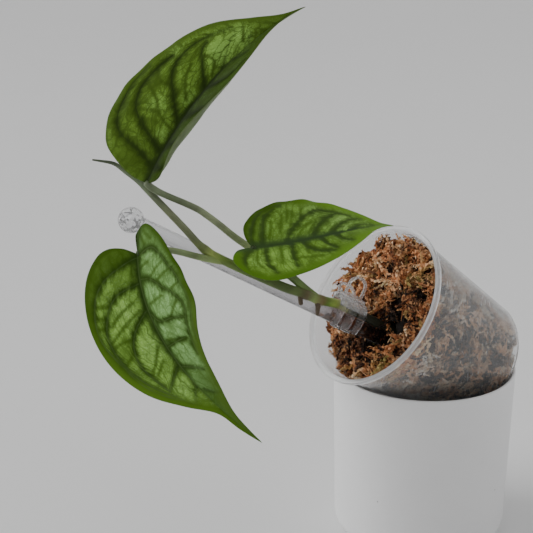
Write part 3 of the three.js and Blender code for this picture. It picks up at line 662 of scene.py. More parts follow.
clear_pot.data.materials.append(frosted_plastic("frosted clear plastic", 0.93, 0.13, 0.27))
clear_pot.data.materials.append(frosted_plastic("cloudy clear lip", 0.68, 0.3, 0.4))
x, y, z = into_pot(face_middles(clear_pot)).T
on_lip = (z > -LIP_DEPTH - LIP_SLACK) & (np.hypot(x, y) > NECK - 2 * LIP_SLACK)
choose_finish(clear_pot, on_lip)
print("clear pot:", int(on_lip.sum()), "faces are on the lip")

# %% [markdown]
# ## The stake
# A straight round rod of clear plastic with a ball on its end. Two primitives joined would leave
# a seam, so it is one turned body along the line from its foot in the moss to the ball. The rod
# has faint lengthwise ribs, kept as one wave value a vertex for the bump.

# %% The stake
STAKE_FOOT = np.array([-31.1, -27.5, 136.9])
STAKE_BALL = np.array([-170.8, -63.8, 220.2])
STAKE_RADIUS, BALL_RADIUS, STAKE_BURIED, FOOT_BEVEL = 4.3, 7.2, 62.0, 3
STAKE_SIDES, STAKE_RIBS, ROD_RINGS = 48, 6, 30
TOWARD_VIEWER = np.array([0, -0.9405, 0.3397])
stake_span = np.linalg.norm(STAKE_BALL - STAKE_FOOT)
stake_up = (STAKE_BALL - STAKE_FOOT) / stake_span
stake_front = unit(TOWARD_VIEWER - stake_up * TOWARD_VIEWER.dot(stake_up))
stake_above = np.cross(stake_front, stake_up)
stake_above *= np.sign(stake_above[2])
stake_frame = frame_matrix(stake_front, np.cross(stake_up, stake_front), stake_up, STAKE_FOOT)


def on_stake(s):
    """The point of the stake's axis at a height s above its foot, in mm."""
    return STAKE_FOOT + stake_up * s


def round_stake(degrees):
    """The direction at an angle round the stake, 0 straight above it and negative to the front."""
    a = math.radians(degrees)
    return stake_above * math.cos(a) - stake_front * math.sin(a)


join = math.degrees(math.asin(STAKE_RADIUS / BALL_RADIUS))
rod_heights = np.linspace(FOOT_BEVEL - STAKE_BURIED, stake_span - BALL_RADIUS, ROD_RINGS)
stake_profile = np.vstack([
    [0, -STAKE_BURIED], [STAKE_RADIUS * 0.6, -STAKE_BURIED],
    np.stack([np.full(ROD_RINGS, STAKE_RADIUS), rod_heights], axis=1),
    arc(0, stake_span, BALL_RADIUS, BALL_RADIUS, join - 90, 88, 26), [0, stake_span + BALL_RADIUS]])
stake = lathe_mesh("stake_clear", stake_profile, STAKE_SIDES, stake_frame)
rib_wave = np.cos(ring_angles(STAKE_SIDES) * STAKE_RIBS)
set_value(stake, "rib", np.append(np.tile(rib_wave, len(stake_profile) - 2), [0, 0]))
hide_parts("stake")
print("stake", round(stake_span, 1), "mm above the moss")

# %% [markdown]
# ### Clear moulded plastic
# The stake and the clip are clear plastic that sparkles where it is moulded rough. Cutting real
# facets would need thousands of faces. Instead each cell of a pattern gets its own random tilt,
# added to the surface direction. The rod is nearly smooth, and towards its foot its colour is
# painted grey and then dark brown: painted shade for the dark moss seen through it in the pot.

# %% Clear moulded plastic
BALL_EDGE, BALL_SKIN, BALL_FACETS, FACET_CELLS = 0.0085, 0.0072, 0.6, 520.0
FOOT_SHADE_FROM, FOOT_SHADE_TO, CLEAR_FROM, CLEAR_TO = 0.05, 0.024, 0.06, 0.14


def moulded_plastic(name, clarity, bend_of_light, haze, facets=0.0):
    """Clear plastic with a random tilt for each cell, strong on the stake's ball. `facets` gives
    the rest of the piece such a tilt too, for a crinkled moulding. The stake's ribs and a fine
    ripple are bumps on top of it."""
    material, pen, inputs = start_material(name, {
        "Base Color": (0.95, 0.95, 0.96), "Roughness": 0.08, "IOR": bend_of_light,
        "Transmission Weight": clarity, "Sheen Weight": haze, "Sheen Roughness": 0.3})
    place = pen.object_place()
    reach = pen.vector("DISTANCE", {0: place, 1: tuple(STAKE_BALL * MM)}, "Value")
    size = pen.math("MAXIMUM", pen.step(reach, BALL_EDGE, BALL_SKIN) * BALL_FACETS, facets)
    random_way = pen.wire("TexVoronoi", {"Vector": place, "Scale": FACET_CELLS}, "Color")
    tilt = pen.vector("SUBTRACT", {0: random_way, 1: (0.5, 0.5, 0.5)})
    tilt = pen.vector("SCALE", {0: tilt, "Scale": size})
    facet = pen.vector("ADD", {0: pen.wire("NewGeometry", {}, "Normal"), 1: tilt})
    facet = pen.vector("NORMALIZE", {0: facet})
    ripple = pen.bump(pen.noise(place, 260.0), 0.15, 0.001, over=facet)
    pen.feed(inputs["Normal"], pen.bump(pen.value("rib"), 0.22, 0.0004, over=ripple))
    pen.feed(inputs["Roughness"], pen.step(pen.noise(place, 300.0), 0.4, 0.8, 0.03, 0.12))
    return material, pen, inputs


rod_plastic, pen, inputs = moulded_plastic("clear moulded plastic", 0.95, 1.42, 0.14)
from_foot = pen.vector("DISTANCE", {0: pen.object_place(), 1: tuple(STAKE_FOOT * MM)}, "Value")
# Painted shade: the rod is grey, then dark brown near its foot, for the shaded moss seen through
# it.
foot_shade = pen.step(from_foot, FOOT_SHADE_FROM, FOOT_SHADE_TO)
shaded_foot = pen.mix(foot_shade, (0.5, 0.49, 0.5), (0.22, 0.16, 0.155))
clear_share = pen.step(from_foot, CLEAR_FROM, CLEAR_TO)
pen.feed(inputs["Base Color"], pen.mix(clear_share, shaded_foot, (0.74, 0.74, 0.75)))
stake.data.materials.append(rod_plastic)
stake.data.materials.append(moulded_plastic("cut clear ball", 0.8, 1.4, 0.7, 0.9)[0])
on_ball = np.linalg.norm(face_middles(stake) - STAKE_BALL, axis=1) < BALL_RADIUS + 0.2
choose_finish(stake, on_ball)
print("stake:", int(on_ball.sum()), "faces are on the ball")

# %% [markdown]
# ## The moss
# Long-fibre moss is a tangle of small leafy sprigs with dark gaps between them. It could be hair
# particles, but those have no mesh of their own, so real sprigs are worked out as arrays: a
# short bent stem with a dozen pointed leaflets round it. A lumpy plug fills the pot below them,
# nearly black on top and dark at its sides: painted shade that shows in the gaps between sprigs.
# Sprigs lie on the plug in two layers and along the inside of the clear wall and floor, and
# single fibres lie loose on top. A few measured places are sunken, and the sprigs there are
# painted darker, a painted shade where the real tangle is open.

# %% The moss plug
MOSS_DEPTH, MOSS_SLOPE, MOSS_CROWN, MOSS_RELIEF = 13.5, 4.5, 3.0, 1.6
PIT_DEPTH, PIT_RADIUS, HOLLOW_DEPTH = 9.9, 12.0, 2.0
STEM_OFFSET, STEM_LEAN = 7.2, -10.0
HOLLOWS = [(14, -6, 11, 1.1), (9, -21, 9, 0.75), (-7, -28, 9, 0.5), (-9, 9, 6, 0.8),
           (10, 7, 4, 0.7), (28, 19, 6, 0.8)]
PLUG_SIDES, PLUG_RINGS, PLUG_ROOM = 144, 46, POT_WALL + 3.2
# The plug's tones are painted shade: it is seen only in the gaps between the sprigs.
PLUG_TOP_SHADE_TONE, PLUG_SIDE_SHADE_TONE = 0.05, 0.2


def beside(s, offset=STEM_OFFSET, lean=STEM_LEAN):
    """A point next to the stake at height s."""
    return on_stake(s) + round_stake(lean) * offset


def bells(x, y, spots):
    """A sum of round bells: a spot (a, b, r, k) adds k at its middle (a, b) and fades over r."""
    return sum(k * np.exp(-((x - a) ** 2 + (y - b) ** 2) / r ** 2) for a, b, r, k in spots)


def hollow(x, y):
    """How open the tangle is at a place, 0 to 1: bells at the measured hollows, and small gaps
    between clumps where a product of bent sines is high."""
    gaps = np.sin(x * 0.44 + 1.5 * np.sin(y * 0.21)) * np.sin(y * 0.4 + 1.4 * np.sin(x * 0.27 + 1))
    return np.clip(bells(x, y, HOLLOWS) + 1.3 * np.clip(gaps - 0.5, 0, 1), 0, 1)


def moss_height(x, y):
    """Height of the moss in the pot's frame: a tilted dome with two sizes of ripple, each a
    product of sines, sunken in the hollows and in a round pit where stem and stake go in."""
    ripple = np.sin(x * 0.31 + 1.3 * np.sin(y * 0.23)) * np.sin(y * 0.37 + 0.8 * np.sin(x * 0.19))
    fine = np.sin(x * 0.83 + y * 0.41) * np.sin(y * 0.91 - x * 0.27)
    dome = MOSS_SLOPE * (y / NECK) + MOSS_CROWN * (1 - (np.hypot(x, y) / NECK) ** 2)
    pit = np.clip(1 - ((x - pit_at[0]) ** 2 + (y - pit_at[1]) ** 2) / PIT_RADIUS ** 2, 0, 1)
    level = -MOSS_DEPTH + dome + MOSS_RELIEF * (ripple + 0.5 * fine)
    return level - PIT_DEPTH * np.sqrt(pit) - HOLLOW_DEPTH * hollow(x, y)


def plug_mesh():
    """The plug as one closed turn: out along the floor, up the wall and in over the top, where
    each ring follows the moss height and small lumps are added. Then the tone of each point,
    and no green."""
    floor = -POT_LENGTH + POT_WALL + 1.2
    wall_z = np.linspace(floor + 1.5, -MOSS_DEPTH - 4, 22)
    top_r = np.linspace(1, 0.03, PLUG_RINGS) * (wall_radius(-MOSS_DEPTH) - PLUG_ROOM - 0.8)
    r = np.concatenate([
        [0.5, 20, BASE - POT_CORNER - 2.2], wall_radius(wall_z) - PLUG_ROOM, top_r])[:, None]
    z = np.concatenate([[floor] * 3, wall_z, np.zeros(PLUG_RINGS)])[:, None]
    angle = ring_angles(PLUG_SIDES)
    x, y = r * np.cos(angle), r * np.sin(angle)
    lumps = 0.7 * np.sin(x * 2.1 + y) * np.sin(y * 2.3 - x * 0.6)
    on_top = np.arange(len(r))[:, None] >= len(r) - PLUG_RINGS
    points = rows_of(x, y, np.where(on_top, moss_height(x, y) + lumps, z))
    # Painted shade: the plug is near black on top and dark at its sides.
    tone = np.repeat(np.where(on_top, PLUG_TOP_SHADE_TONE, PLUG_SIDE_SHADE_TONE), PLUG_SIDES)
    return from_pot(points), closed_faces(len(r), PLUG_SIDES), tone, 0 * tone


def moss_mesh(name, points, faces, tone, green):
    """A piece of the moss that keeps a tone and a green for each of its points."""
    piece = add_mesh(name, points, faces)
    set_value(piece, "tone", tone)
    set_value(piece, "green", green)
    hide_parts("moss")
    return piece


pit_at = into_pot(beside(1, STEM_OFFSET * 0.6))
moss_plug = moss_mesh("moss_plug", *plug_mesh())
print("moss plug", len(moss_plug.data.polygons), "faces")


# %% Bent paths for sprigs and fibres
def bent_paths(roots, heading, lift, length, bend, steps):
    """Many short paths at once, each along its heading, bent across by a sine and up by a
    parabola. Returns the places (count, steps, 3) and the directions ahead, side and up there."""
    t = np.linspace(0, 1, steps)[None, :, None]
    side = unit(np.cross(heading, lift))
    turns, phase, width, rise = [values[:, None, None] for values in bend]
    wave = np.sin(t * math.pi * turns + phase) - np.sin(phase)
    path = (roots[:, None] + heading[:, None] * t * length[:, None, None]
            + side[:, None] * wave * width + lift[:, None] * (4 * t * (1 - t) * rise))
    ahead = unit(np.gradient(path, axis=1))
    first = unit(np.cross(ahead, lift[:, None]))
    return path, ahead, first, np.cross(first, ahead)


def three_sided(path, first, second, radius):
    """Three-sided tubes round the paths, thinner to the tip, with closed ends: the corners as
    (count, steps * 3, 3), and the quads and the two end faces of one tube."""
    steps = path.shape[1]
    corner = ring_angles(3)[:, None]
    ring = np.cos(corner) * first[:, :, None] + np.sin(corner) * second[:, :, None]
    taper = 1 - 0.7 * np.linspace(0, 1, steps)[None, :, None, None] ** 2
    points = path[:, :, None] + ring * radius[:, None, None, None] * taper
    faces = closed_faces(steps, 3)
    return points.reshape(len(path), -1, 3), faces[:-2], faces[-2:]


def keep_in_pot(points):
    """Points that would stick through the pot's wall or floor are drawn back inside it, less and
    less the further they were out, so that they stay in layers."""
    local = into_pot(points)
    local[..., 2] = np.maximum(local[..., 2], -POT_LENGTH + POT_WALL + 0.8)
    reach = np.hypot(local[..., 0], local[..., 1])
    room = wall_radius(local[..., 2]) - POT_WALL - 1.4
    inside = np.minimum(reach, room) + 1.0 - np.exp(-np.maximum(reach - room, 0) / 2)
    local[..., :2] *= np.minimum(1, inside / np.maximum(reach, 1e-6))[..., None]
    return from_pot(local)


def many_copies(name, points, quads, triangles, tone, green):
    """One mesh from `count` equal groups of corners; the faces of one group are shifted for all.
    `tone` and `green` hold one number for each group, or for each corner of it."""
    count, each = points.shape[:2]
    shift = np.arange(count)[:, None, None] * each
    faces = (np.array(quads) + shift).reshape(-1, 4).tolist()
    faces += (np.array(triangles) + shift).reshape(-1, 3).tolist()
    values = [np.broadcast_to(np.reshape(numbers, (count, -1)), (count, each)).ravel()
              for numbers in (tone, green)]
    return moss_mesh(name, keep_in_pot(points).reshape(-1, 3), faces, *values)


# %% Moss sprigs
LEAFLETS, GOLDEN_TURN, ANY_TURN = 12, 2.4, 6.3
STEM_PICK = [0, 4, 8, LEAFLETS - 1]
LEAFLET_FACES = np.array([[0, 2, 1], [0, 1, 3], [0, 3, 2], [1, 2, 3]])
LEAFLET_SHARE, LEAFLET_LEAST, LEAFLET_TAPER = 0.16, 1.5, 0.45
LEAFLET_WIDE, LEAFLET_CUP, LEAFLET_DROOP = 0.34, 0.14, 0.2


def sprigs_mesh(name, lay, length, bend, tone, green, draw):
    """Sprigs: a thin bent stem and pointed leaflets round it, each next one a golden turn further.
    A leaflet is a closed body with four corners: its root, its two widest points and its tip,
    which is bent down, so it looks like a small cupped leaf. `lay` holds where the sprigs start,
    where they head and where their upper side looks."""
    count = len(length)
    every = (count, LEAFLETS)
    path, ahead, first, second = bent_paths(*lay, length, bend, LEAFLETS)
    picked = [values[:, STEM_PICK] for values in (path, first, second)]
    stems, quads, ends = three_sided(*picked, draw.uniform(0.55, 0.85, count))
    turn = np.arange(LEAFLETS) * GOLDEN_TURN + draw.random((count, 1)) * ANY_TURN
    turn = turn + draw.normal(0, 0.4, every)
    outward = np.cos(turn)[..., None] * first + np.sin(turn)[..., None] * second
    way = unit(ahead + outward * draw.uniform(0.3, 0.8, (*every, 1)))
    across = unit(np.cross(outward, way))
    up = np.cross(way, across)
    size = (length[:, None] * LEAFLET_SHARE + LEAFLET_LEAST) * draw.uniform(0.7, 1.3, every)
    size = (size * (1 - LEAFLET_TAPER * np.linspace(0, 1, LEAFLETS)))[..., None]
    middle = path + way * size * 0.5 + up * size * LEAFLET_CUP
    half_width = across * size * LEAFLET_WIDE
    tip = path + way * size - up * size * LEAFLET_DROOP
    corners = np.stack([path, middle + half_width, middle - half_width, tip], axis=2)
    start = stems.shape[1]
    leaflets = LEAFLET_FACES + start + np.arange(LEAFLETS)[:, None, None] * 4
    points = np.concatenate([stems, corners.reshape(count, -1, 3)], axis=1)
    leaf_tone = np.repeat(draw.normal(0.03, 0.09, every), 4, axis=1)
    tones = tone[:, None] + np.concatenate([np.full((count, start), -0.04), leaf_tone], axis=1)
    triangles = ends + leaflets.reshape(-1, 3).tolist()
    piece = many_copies(name, points, quads, triangles, np.clip(tones, 0, 1), green)
    smooth_faces(piece, False)
    return piece


def bends(draw, count, turns, width, rise):
    """Random bends for `count` paths, each between a low and a high value: the number of half
    waves, where the wave starts, how wide it swings and how high the path rises."""
    return (draw.uniform(*turns, count), draw.random(count) * ANY_TURN,
            draw.uniform(*width, count), draw.uniform(*rise, count))


# %% Two layers of sprigs and loose fibres on top
GREEN_SPOTS = [(22, -31, 5, 1), (14, 24, 4, 1)]
TOP_LIFT, TOP_REACH = 1.6, NECK - 3.5


def scatter_on_top(draw, count, height):
    """Places over the top of the moss, none in the hollows, and how a sprig lies there. Neighbours
    point about the same way, by two sines of the place, so they lie together in tufts."""
    r = np.sqrt(draw.random(count * 3)) * TOP_REACH
    a = draw.random(count * 3) * FULL_TURN
    x, y = r * np.cos(a), r * np.sin(a)
    keep = draw.uniform(0.1, 0.9, count * 3) > hollow(x, y)
    x, y = x[keep][:count], y[keep][:count]
    turn = 2.6 * np.sin(x * 0.15 + 1.2 * np.sin(y * 0.17)) + 2.3 * np.sin(y * 0.16 + 0.6)
    turn = turn + draw.normal(0, 0.5, len(x))
    heading = unit(rows_of(np.cos(turn), np.sin(turn), draw.normal(0.15, 0.3, len(x))))
    lift = unit(rows_of(draw.normal(0, 0.25, len(x)), draw.normal(0, 0.25, len(x)), 1.0))
    roots = rows_of(x, y, moss_height(x, y) + height)
    return x, y, (from_pot(roots), turn_pot(heading), turn_pot(lift))


def sprig_layer(name, count, seed, size, height, light):
    """A layer of sprigs on the moss, each tuft a little lighter or darker than the next, darker in
    the hollows as a painted shade, and greener at two measured spots."""
    draw = np.random.default_rng(seed)
    x, y, lay = scatter_on_top(draw, count, height)
    length = size * draw.uniform(0.55, 1.3, len(x))
    bend = bends(draw, len(x), (0.5, 1.7), (0.5, 2.2), (-0.3, 2.0))
    clump = 0.13 * np.sin(x * 0.31 + 1.7) * np.sin(y * 0.36 - x * 0.09)
    # Painted shade: the sprigs in the hollows are made darker.
    tone = np.clip(draw.normal(light, 0.15, len(x)) + clump - 0.9 * hollow(x, y), 0, 1)
    green = np.clip(bells(x, y, GREEN_SPOTS), 0, 1) * draw.random(len(x))
    green = green + 0.25 * (draw.random(len(x)) > 0.93)
    return sprigs_mesh(name, lay, length, bend, tone, green, draw)


def fibre_layer(name, count, seed):
    """Single thin fibres that lie over the sprigs and stick out a little."""
    draw = np.random.default_rng(seed)
    x, _, lay = scatter_on_top(draw, count, TOP_LIFT)
    length = draw.uniform(4, 12, len(x))
    bend = bends(draw, len(x), (0.8, 2.4), (0.4, 1.5), (0.2, 2.6))
    path, _, first, second = bent_paths(*lay, length, bend, 7)
    tube = three_sided(path, first, second, draw.uniform(0.28, 0.5, len(x)))
    tone = np.clip(draw.normal(0.66, 0.15, len(x)), 0, 1)
    return many_copies(name, *tube, tone, np.zeros(len(x)))


thinner = 1.0
low_sprigs = sprig_layer(
    "moss_sprigs_low", int(1100 * thinner), seed=5, size=10.0, height=0.0, light=0.48)
top_sprigs = sprig_layer(
    "moss_sprigs_top", int(750 * thinner), seed=6, size=11.0, height=TOP_LIFT, light=0.68)
fibres = fibre_layer("moss_fibres", int(260 * thinner), seed=8)
for piece in (low_sprigs, top_sprigs, fibres):
    print(piece.name, len(piece.data.polygons), "faces")


# %% Moss pressed to the wall
WALL_GAP, FLOOR_RUN, FLOOR_SHARE = 2.2, 24, 1.3


def wall_cloud(a, z):
    """Light and dark patches round the wall: products of sines of the angle and the height, in
    two sizes, each bent by the other direction, and painted light that makes the moss paler along
    the top and bottom of the wall."""
    wide = np.sin(a * 4 + 0.1 * z + 2 * np.sin(z * 0.11)) * np.sin(z * 0.16 + 2 * np.sin(a * 3))
    small = np.sin(a * 11 + 0.3 * z + 1.5 * np.sin(z * 0.31)) * np.sin(z * 0.4 + 2 * np.sin(a * 7))
    # Painted light: the moss is made paler along the top and bottom of the wall.
    pale = np.clip(3 * np.sin(a) - 2.1, 0, 1) + 0.7 * np.clip(-3 * np.sin(a) - 2.1, 0, 1)
    return 0.22 * wide + 0.3 * np.tanh(2.5 * small) + 0.5 * pale


def wall_layer(name, count, seed):
    """Sprigs lying along the inside of the clear wall and floor, light and dark in patches. A run
    down the wall goes on across the floor: past the corner it shortens the radius instead."""
    draw = np.random.default_rng(seed)
    corner = -POT_LENGTH + WALL_GAP
    run = draw.uniform(corner - FLOOR_RUN, -MOSS_DEPTH - 1, count)
    a = draw.random(count) * FULL_TURN
    z, past = np.maximum(run, corner), np.maximum(corner - run, 0)
    r = wall_radius(z) - POT_WALL - WALL_GAP - past * FLOOR_SHARE
    on_floor = (past > 0)[:, None]
    outward = rows_of(np.cos(a), np.sin(a), 0.0)
    lift = np.where(on_floor, [0, 0, -1.0], outward)
    axis = np.where(on_floor, outward, [0, 0, 1.0])
    tip = (2.5 * np.sin(a * 3 + z * 0.06) + draw.normal(0, 0.7, count))[:, None]
    heading = rows_of(-np.sin(a), np.cos(a), 0.0) * np.cos(tip) + axis * np.sin(tip)
    tone = np.clip(draw.normal(0.57, 0.1, count) + wall_cloud(a, run), 0, 1)
    bend = bends(draw, count, (0.8, 2.0), (0.4, 1.8), (-0.2, 0.2))
    length = draw.uniform(5, 10, count)
    roots = rows_of(r * np.cos(a), r * np.sin(a), z)
    lay = (from_pot(roots), turn_pot(heading), turn_pot(lift))
    return sprigs_mesh(name, lay, length, bend, tone, np.zeros(count), draw)


wall_sprigs = wall_layer("moss_sprigs_wall", int(2500 * thinner), seed=7)
print(wall_sprigs.name, len(wall_sprigs.data.polygons), "faces")

# %% [markdown]
# ### The moss finish
# Damp moss runs from near black through rust to straw, and looks greyer behind the cloudy wall.
# The plug, seen in the gaps, and the sprigs in the hollows take its darkest tones as painted shade.
# Painting each sprig is out of the question. Each carries one random tone instead, and a colour
# ramp turns the tone into the colour, so light and dark sprigs lie side by side as in the photo.

# %% The moss finish
def moss_material(name, stops, warm):
    """Moss skin: the tone of each sprig, shifted by a wide and a fine noise but less where it is
    nearly black, goes through a colour ramp; `warm` is a tint for about half of the tufts."""
    material, pen, inputs = start_material(name, {
        "Base Color": (0.3, 0.15, 0.07), "Roughness": 0.8, "Specular IOR Level": 0.25})
    place = pen.object_place()
    speckle = pen.noise(place, 900.0, detail=2.0)
    change = (pen.noise(place, 60.0, detail=2.0) - 0.5) * 0.45 + (speckle - 0.5) * 0.35
    tone = pen.value("tone")
    skin = pen.ramp(tone + change * pen.step(tone, 0.0, 0.3), stops)
    tufts = pen.step(pen.noise(place, 110.0, detail=1.0), 0.42, 0.58)
    color = pen.mix(tufts, skin, pen.mix(1.0, skin, warm, "MULTIPLY"))
    olive = pen.mix(pen.value("green"), color, (0.42, 0.42, 0.12))
    pen.feed(inputs["Base Color"], pen.mix(pen.step(tone, 0.1, 0.3), color, olive))
    pen.feed(inputs["Normal"], pen.bump(speckle, 0.4, 0.0003))
    return material


open_moss = moss_material("damp brown moss", [
    (0.12, (0.013, 0.009, 0.007)), (0.3, (0.09, 0.046, 0.028)), (0.48, (0.36, 0.165, 0.075)),
    (0.65, (0.6, 0.32, 0.14)), (0.82, (0.76, 0.49, 0.27)), (0.98, (0.87, 0.69, 0.45)),
], (1.0, 0.78, 0.68))
pressed_moss = moss_material("moss against the wall", [
    (0.1, (0.022, 0.025, 0.03)), (0.3, (0.085, 0.078, 0.076)), (0.48, (0.36, 0.24, 0.15)),
    (0.66, (0.64, 0.45, 0.29)), (0.86, (0.8, 0.66, 0.48)), (1.0, (0.87, 0.83, 0.77)),
], (1.0, 0.8, 0.66))
for piece in (moss_plug, low_sprigs, top_sprigs, fibres, wall_sprigs):
    piece.data.materials.append(pressed_moss if piece is wall_sprigs else open_moss)
    print(piece.name, "has", piece.data.materials[0].name)

# %% [markdown]
# ## The bark chip
# A dark piece of bark is pressed into the moss near the upper edge. It could be a box with a
# displacement, but that keeps its box edges. It is a ball whose radius is cut to flat sides and
# roughened by sines, which looks broken rather than round.

# %% The bark chip
BARK_AT, BARK_SIZE = np.array([-23.5, 0.6, 176.6]), np.array([3.6, 2.6, 4.4])
BARK_CUTS = [((1, 0.2, 0.3), 0.72), ((-0.6, 1, 0.1), 0.68), ((0.2, -1, 0.5), 0.7),
             ((-0.7, -0.3, -0.8), 0.75), ((0.1, 0.3, 1), 0.78)]


def chip_mesh(rows=28, sides=40):
    """A sphere grid whose radius is the smallest of 1 and the reach of each flat cut, made a
    little rough by a product of sines."""
    tilt = np.linspace(0.02, math.pi - 0.02, rows)[:, None]
    turn = ring_angles(sides)
    way = rows_of(np.sin(tilt) * np.cos(turn), np.sin(tilt) * np.sin(turn), np.cos(tilt))
    radius = np.ones(len(way))
    for cut, reach in BARK_CUTS:
        along = way @ unit(np.array(cut, dtype=float))
        radius = np.minimum(radius, reach / np.maximum(along, 0.3))
    rough = 0.95 + 0.05 * np.sin(9 * turn + 3 * np.cos(5 * tilt)) * np.sin(8 * tilt)
    points = way * (radius * rough.ravel())[:, None] * BARK_SIZE + BARK_AT
    return points, [face[::-1] for face in closed_faces(rows, sides)]


bark_chip = add_mesh("bark_chip_rough", *chip_mesh())
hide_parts("bark_chip")
bark = mottled_material(
    "dark bark", {"Base Color": (0.05, 0.03, 0.02), "Roughness": 0.85},
    {"Scale": 420.0, "Dark": (0.012, 0.008, 0.008), "Light": (0.12, 0.07, 0.045), "Contrast": 2.2},
    (0.8, 0.0006), stretch=(1, 1, 0.35))[0]
bark_chip.data.materials.append(bark)
print("bark chip", len(bark_chip.data.polygons), "faces")

# %% [markdown]
# ## The stem, its roots and the leaf stalks
# The stem comes out of the moss beside the stake, runs through the clip and along the rod, and
# ends in a thin growing tip. It could be sculpted as one skin, but tubes through a few measured
# points follow the photo better. The stem thickens at its nodes, where a stalk or a root leaves
# it. A stalk is widest at its sheath, grooved along its upper side and thicker at its knee.

# %% Paths of the stem and the stalks
STEM_POINTS = [
    beside(-32, 12, -35), beside(-18, 9, -25), beside(-6, 7.6), beside(6), beside(15), beside(24),
    beside(33, STEM_OFFSET + 0.2, -14),
    (-67.3, -42.6, 166), (-71.9, -44.3, 168.7), (-77, -45.8, 171.2), (-86.3, -48.9, 175.6),
    (-99.3, -52.5, 182.8), (-111.6, -56, 189.7), (-121.5, -58.6, 195.6), (-129.2, -60.4, 200.9),
    (-133.4, -60.9, 204.6), (-141.6, -59.5, 213.6), (-152.4, -59.5, 225.6), (-160.6, -58.6, 234.4),
    (-166.6, -56.2, 240), (-173.6, -54.2, 244.6), (-180, -53.4, 249), (-187, -57, 251.6),
    (-191, -60.4, 253.2)]
STEM_RADII = [(0, 2.0), (0.12, 2.6), (0.42, 2.7), (0.6, 2.5), (0.68, 2.1), (0.86, 1.9),
              (0.93, 1.2), (0.97, 0.75), (1, 0.45)]
NODES, NODE_WIDTH = [(0.335, 0.5), (0.375, 0.4), (0.655, 0.45)], 0.012
STALKS = {
    "a": ([(-68, -40.8, 166), (-74.4, -43.4, 172.4), (-82.3, -43.4, 179.6), (-94.8, -43.8, 189.2),
           (-106.1, -45, 197.8), (-115.6, -46.8, 205.5), (-122.8, -48.8, 212.4),
           (-129.9, -51.2, 218.9), (-134.7, -53, 222.9), (-141.7, -56, 227.4), (-149.6, -60, 232.2),
           (-155.9, -63.4, 236.4), (-159.7, -65.4, 239.6), (-161.9, -66.1, 242)], 2.6, 1.75),
    "b": ([(-119.4, -57, 193.8), (-127, -61.4, 196.6), (-135.7, -65.4, 200), (-143.1, -68.6, 203.2),
           (-149.4, -71.6, 205.5), (-155.7, -75.2, 207.2), (-160.8, -78.8, 207.9),
           (-165.8, -82.9, 207.3)], 2.1, 1.6),
    "c": ([(-98.2, -51, 181.8), (-97.2, -58.4, 187), (-98.7, -67.4, 195.6), (-101.2, -74, 203.4),
           (-104.3, -77.9, 209.4)], 2.0, 1.5),
}
ROOTS = [
    ([(-67.4, -43.3, 165.4), (-67.4, -44.8, 161.5), (-67.6, -45.4, 157.6)], 1.9, 1.0),
    ([(-77.6, -46, 170.7), (-77.4, -47, 167.6), (-77.2, -47.4, 164.9)], 1.7, 1.2),
]

# %% The stem, stalk and root tubes
STEM_RINGS, STALK_RINGS, ROOT_RINGS = 320, 120, 24
STEM_SIDES, ROOT_SIDES = 24, 14
GROOVE_DEPTH, GROOVE_WIDTH = 0.1, 0.45
KNEE_SWELL, KNEE_AT, KNEE_WIDTH = 0.16, 0.97, 0.05


def stem_radius(t):
    """Radius of the stem at 0 to 1 of its length: straight lines between the measured places,
    plus a bell-shaped bump at each node."""
    at, radius = np.array(STEM_RADII).T
    bumps = sum(size * hump(t - place, NODE_WIDTH) for place, size in NODES)
    return np.interp(t, at, radius) + bumps


stem_path, stem_length = smooth_path(STEM_POINTS, STEM_RINGS)
stem = tube_mesh("stem_smooth", stem_path, stem_radius(np.linspace(0, 1, STEM_RINGS)), STEM_SIDES)
groove = 1 - GROOVE_DEPTH * hump(ring_angles(STEM_SIDES) - math.pi / 2, GROOVE_WIDTH)
s = np.linspace(0, 1, STALK_RINGS)
knee = 1 + KNEE_SWELL * hump(s - KNEE_AT, KNEE_WIDTH)
stalks = [tube_mesh(f"stalk_{key}", smooth_path(points, STALK_RINGS)[0],
                    (start + (end - start) * s ** 0.7) * knee, STEM_SIDES, groove)
          for key, (points, start, end) in STALKS.items()]
s = np.linspace(0, 1, ROOT_RINGS)
rough = 1 + 0.08 * np.sin(np.arange(ROOT_SIDES) * 2.4 + 11 * s[:, None]) * np.sin(s[:, None] * 25)
root_stubs = [tube_mesh(f"aerial_root_{number}", smooth_path(points, ROOT_RINGS)[0],
                        start + (end - start) * s, ROOT_SIDES, rough)
              for number, (points, start, end) in enumerate(ROOTS, 1)]
for piece in (stem, *stalks, *root_stubs):
    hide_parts("vine_stem")
print("stem", round(stem_length), "mm long")

# %% [markdown]
# ### The stem finish
# The stem is dark and brownish low down, its own colour with painted shade added where it runs
# low beside the stake. Under the clip a pale stop is a painted highlight of the clip's white
# plastic, then the stem is bright green, and greyer green towards the tip. An image along it could
# show that, but a colour ramp along the UV length needs no file and can be changed at any stop.
# Brown flecks and fine lengthwise ribs lie on top.

# %% The stem finish
SKIN_RIBS = 22


def stem_finish(name, stops, brown_share):
    """Satin plant skin: a colour ramp along the UV length, brown flecks from noise, and fine
    lengthwise ribs as a bump."""
    material, pen, inputs = start_material(name, {
        "Base Color": (0.2, 0.28, 0.1), "Roughness": 0.42, "Specular IOR Level": 0.25})
    along, around = pen.axes(pen.uv("along"))
    place = pen.object_place()
    fleck = pen.step(pen.noise(place, 320.0, detail=4.0), 0.52, 0.68, 0.0, brown_share)
    skin = pen.mix(fleck, pen.ramp(along, stops), (0.11, 0.07, 0.035))
    cloud = pen.step(pen.noise(place, 90.0), 0.3, 0.7, 0.75, 1.2)
    pen.feed(inputs["Base Color"], pen.shade(skin, cloud))
    ribs = pen.math("SINE", around * (FULL_TURN * SKIN_RIBS))
    pen.feed(inputs["Normal"], pen.bump(ribs * 0.12 + pen.noise(place, 260.0), 0.3, 0.0004))
    return material
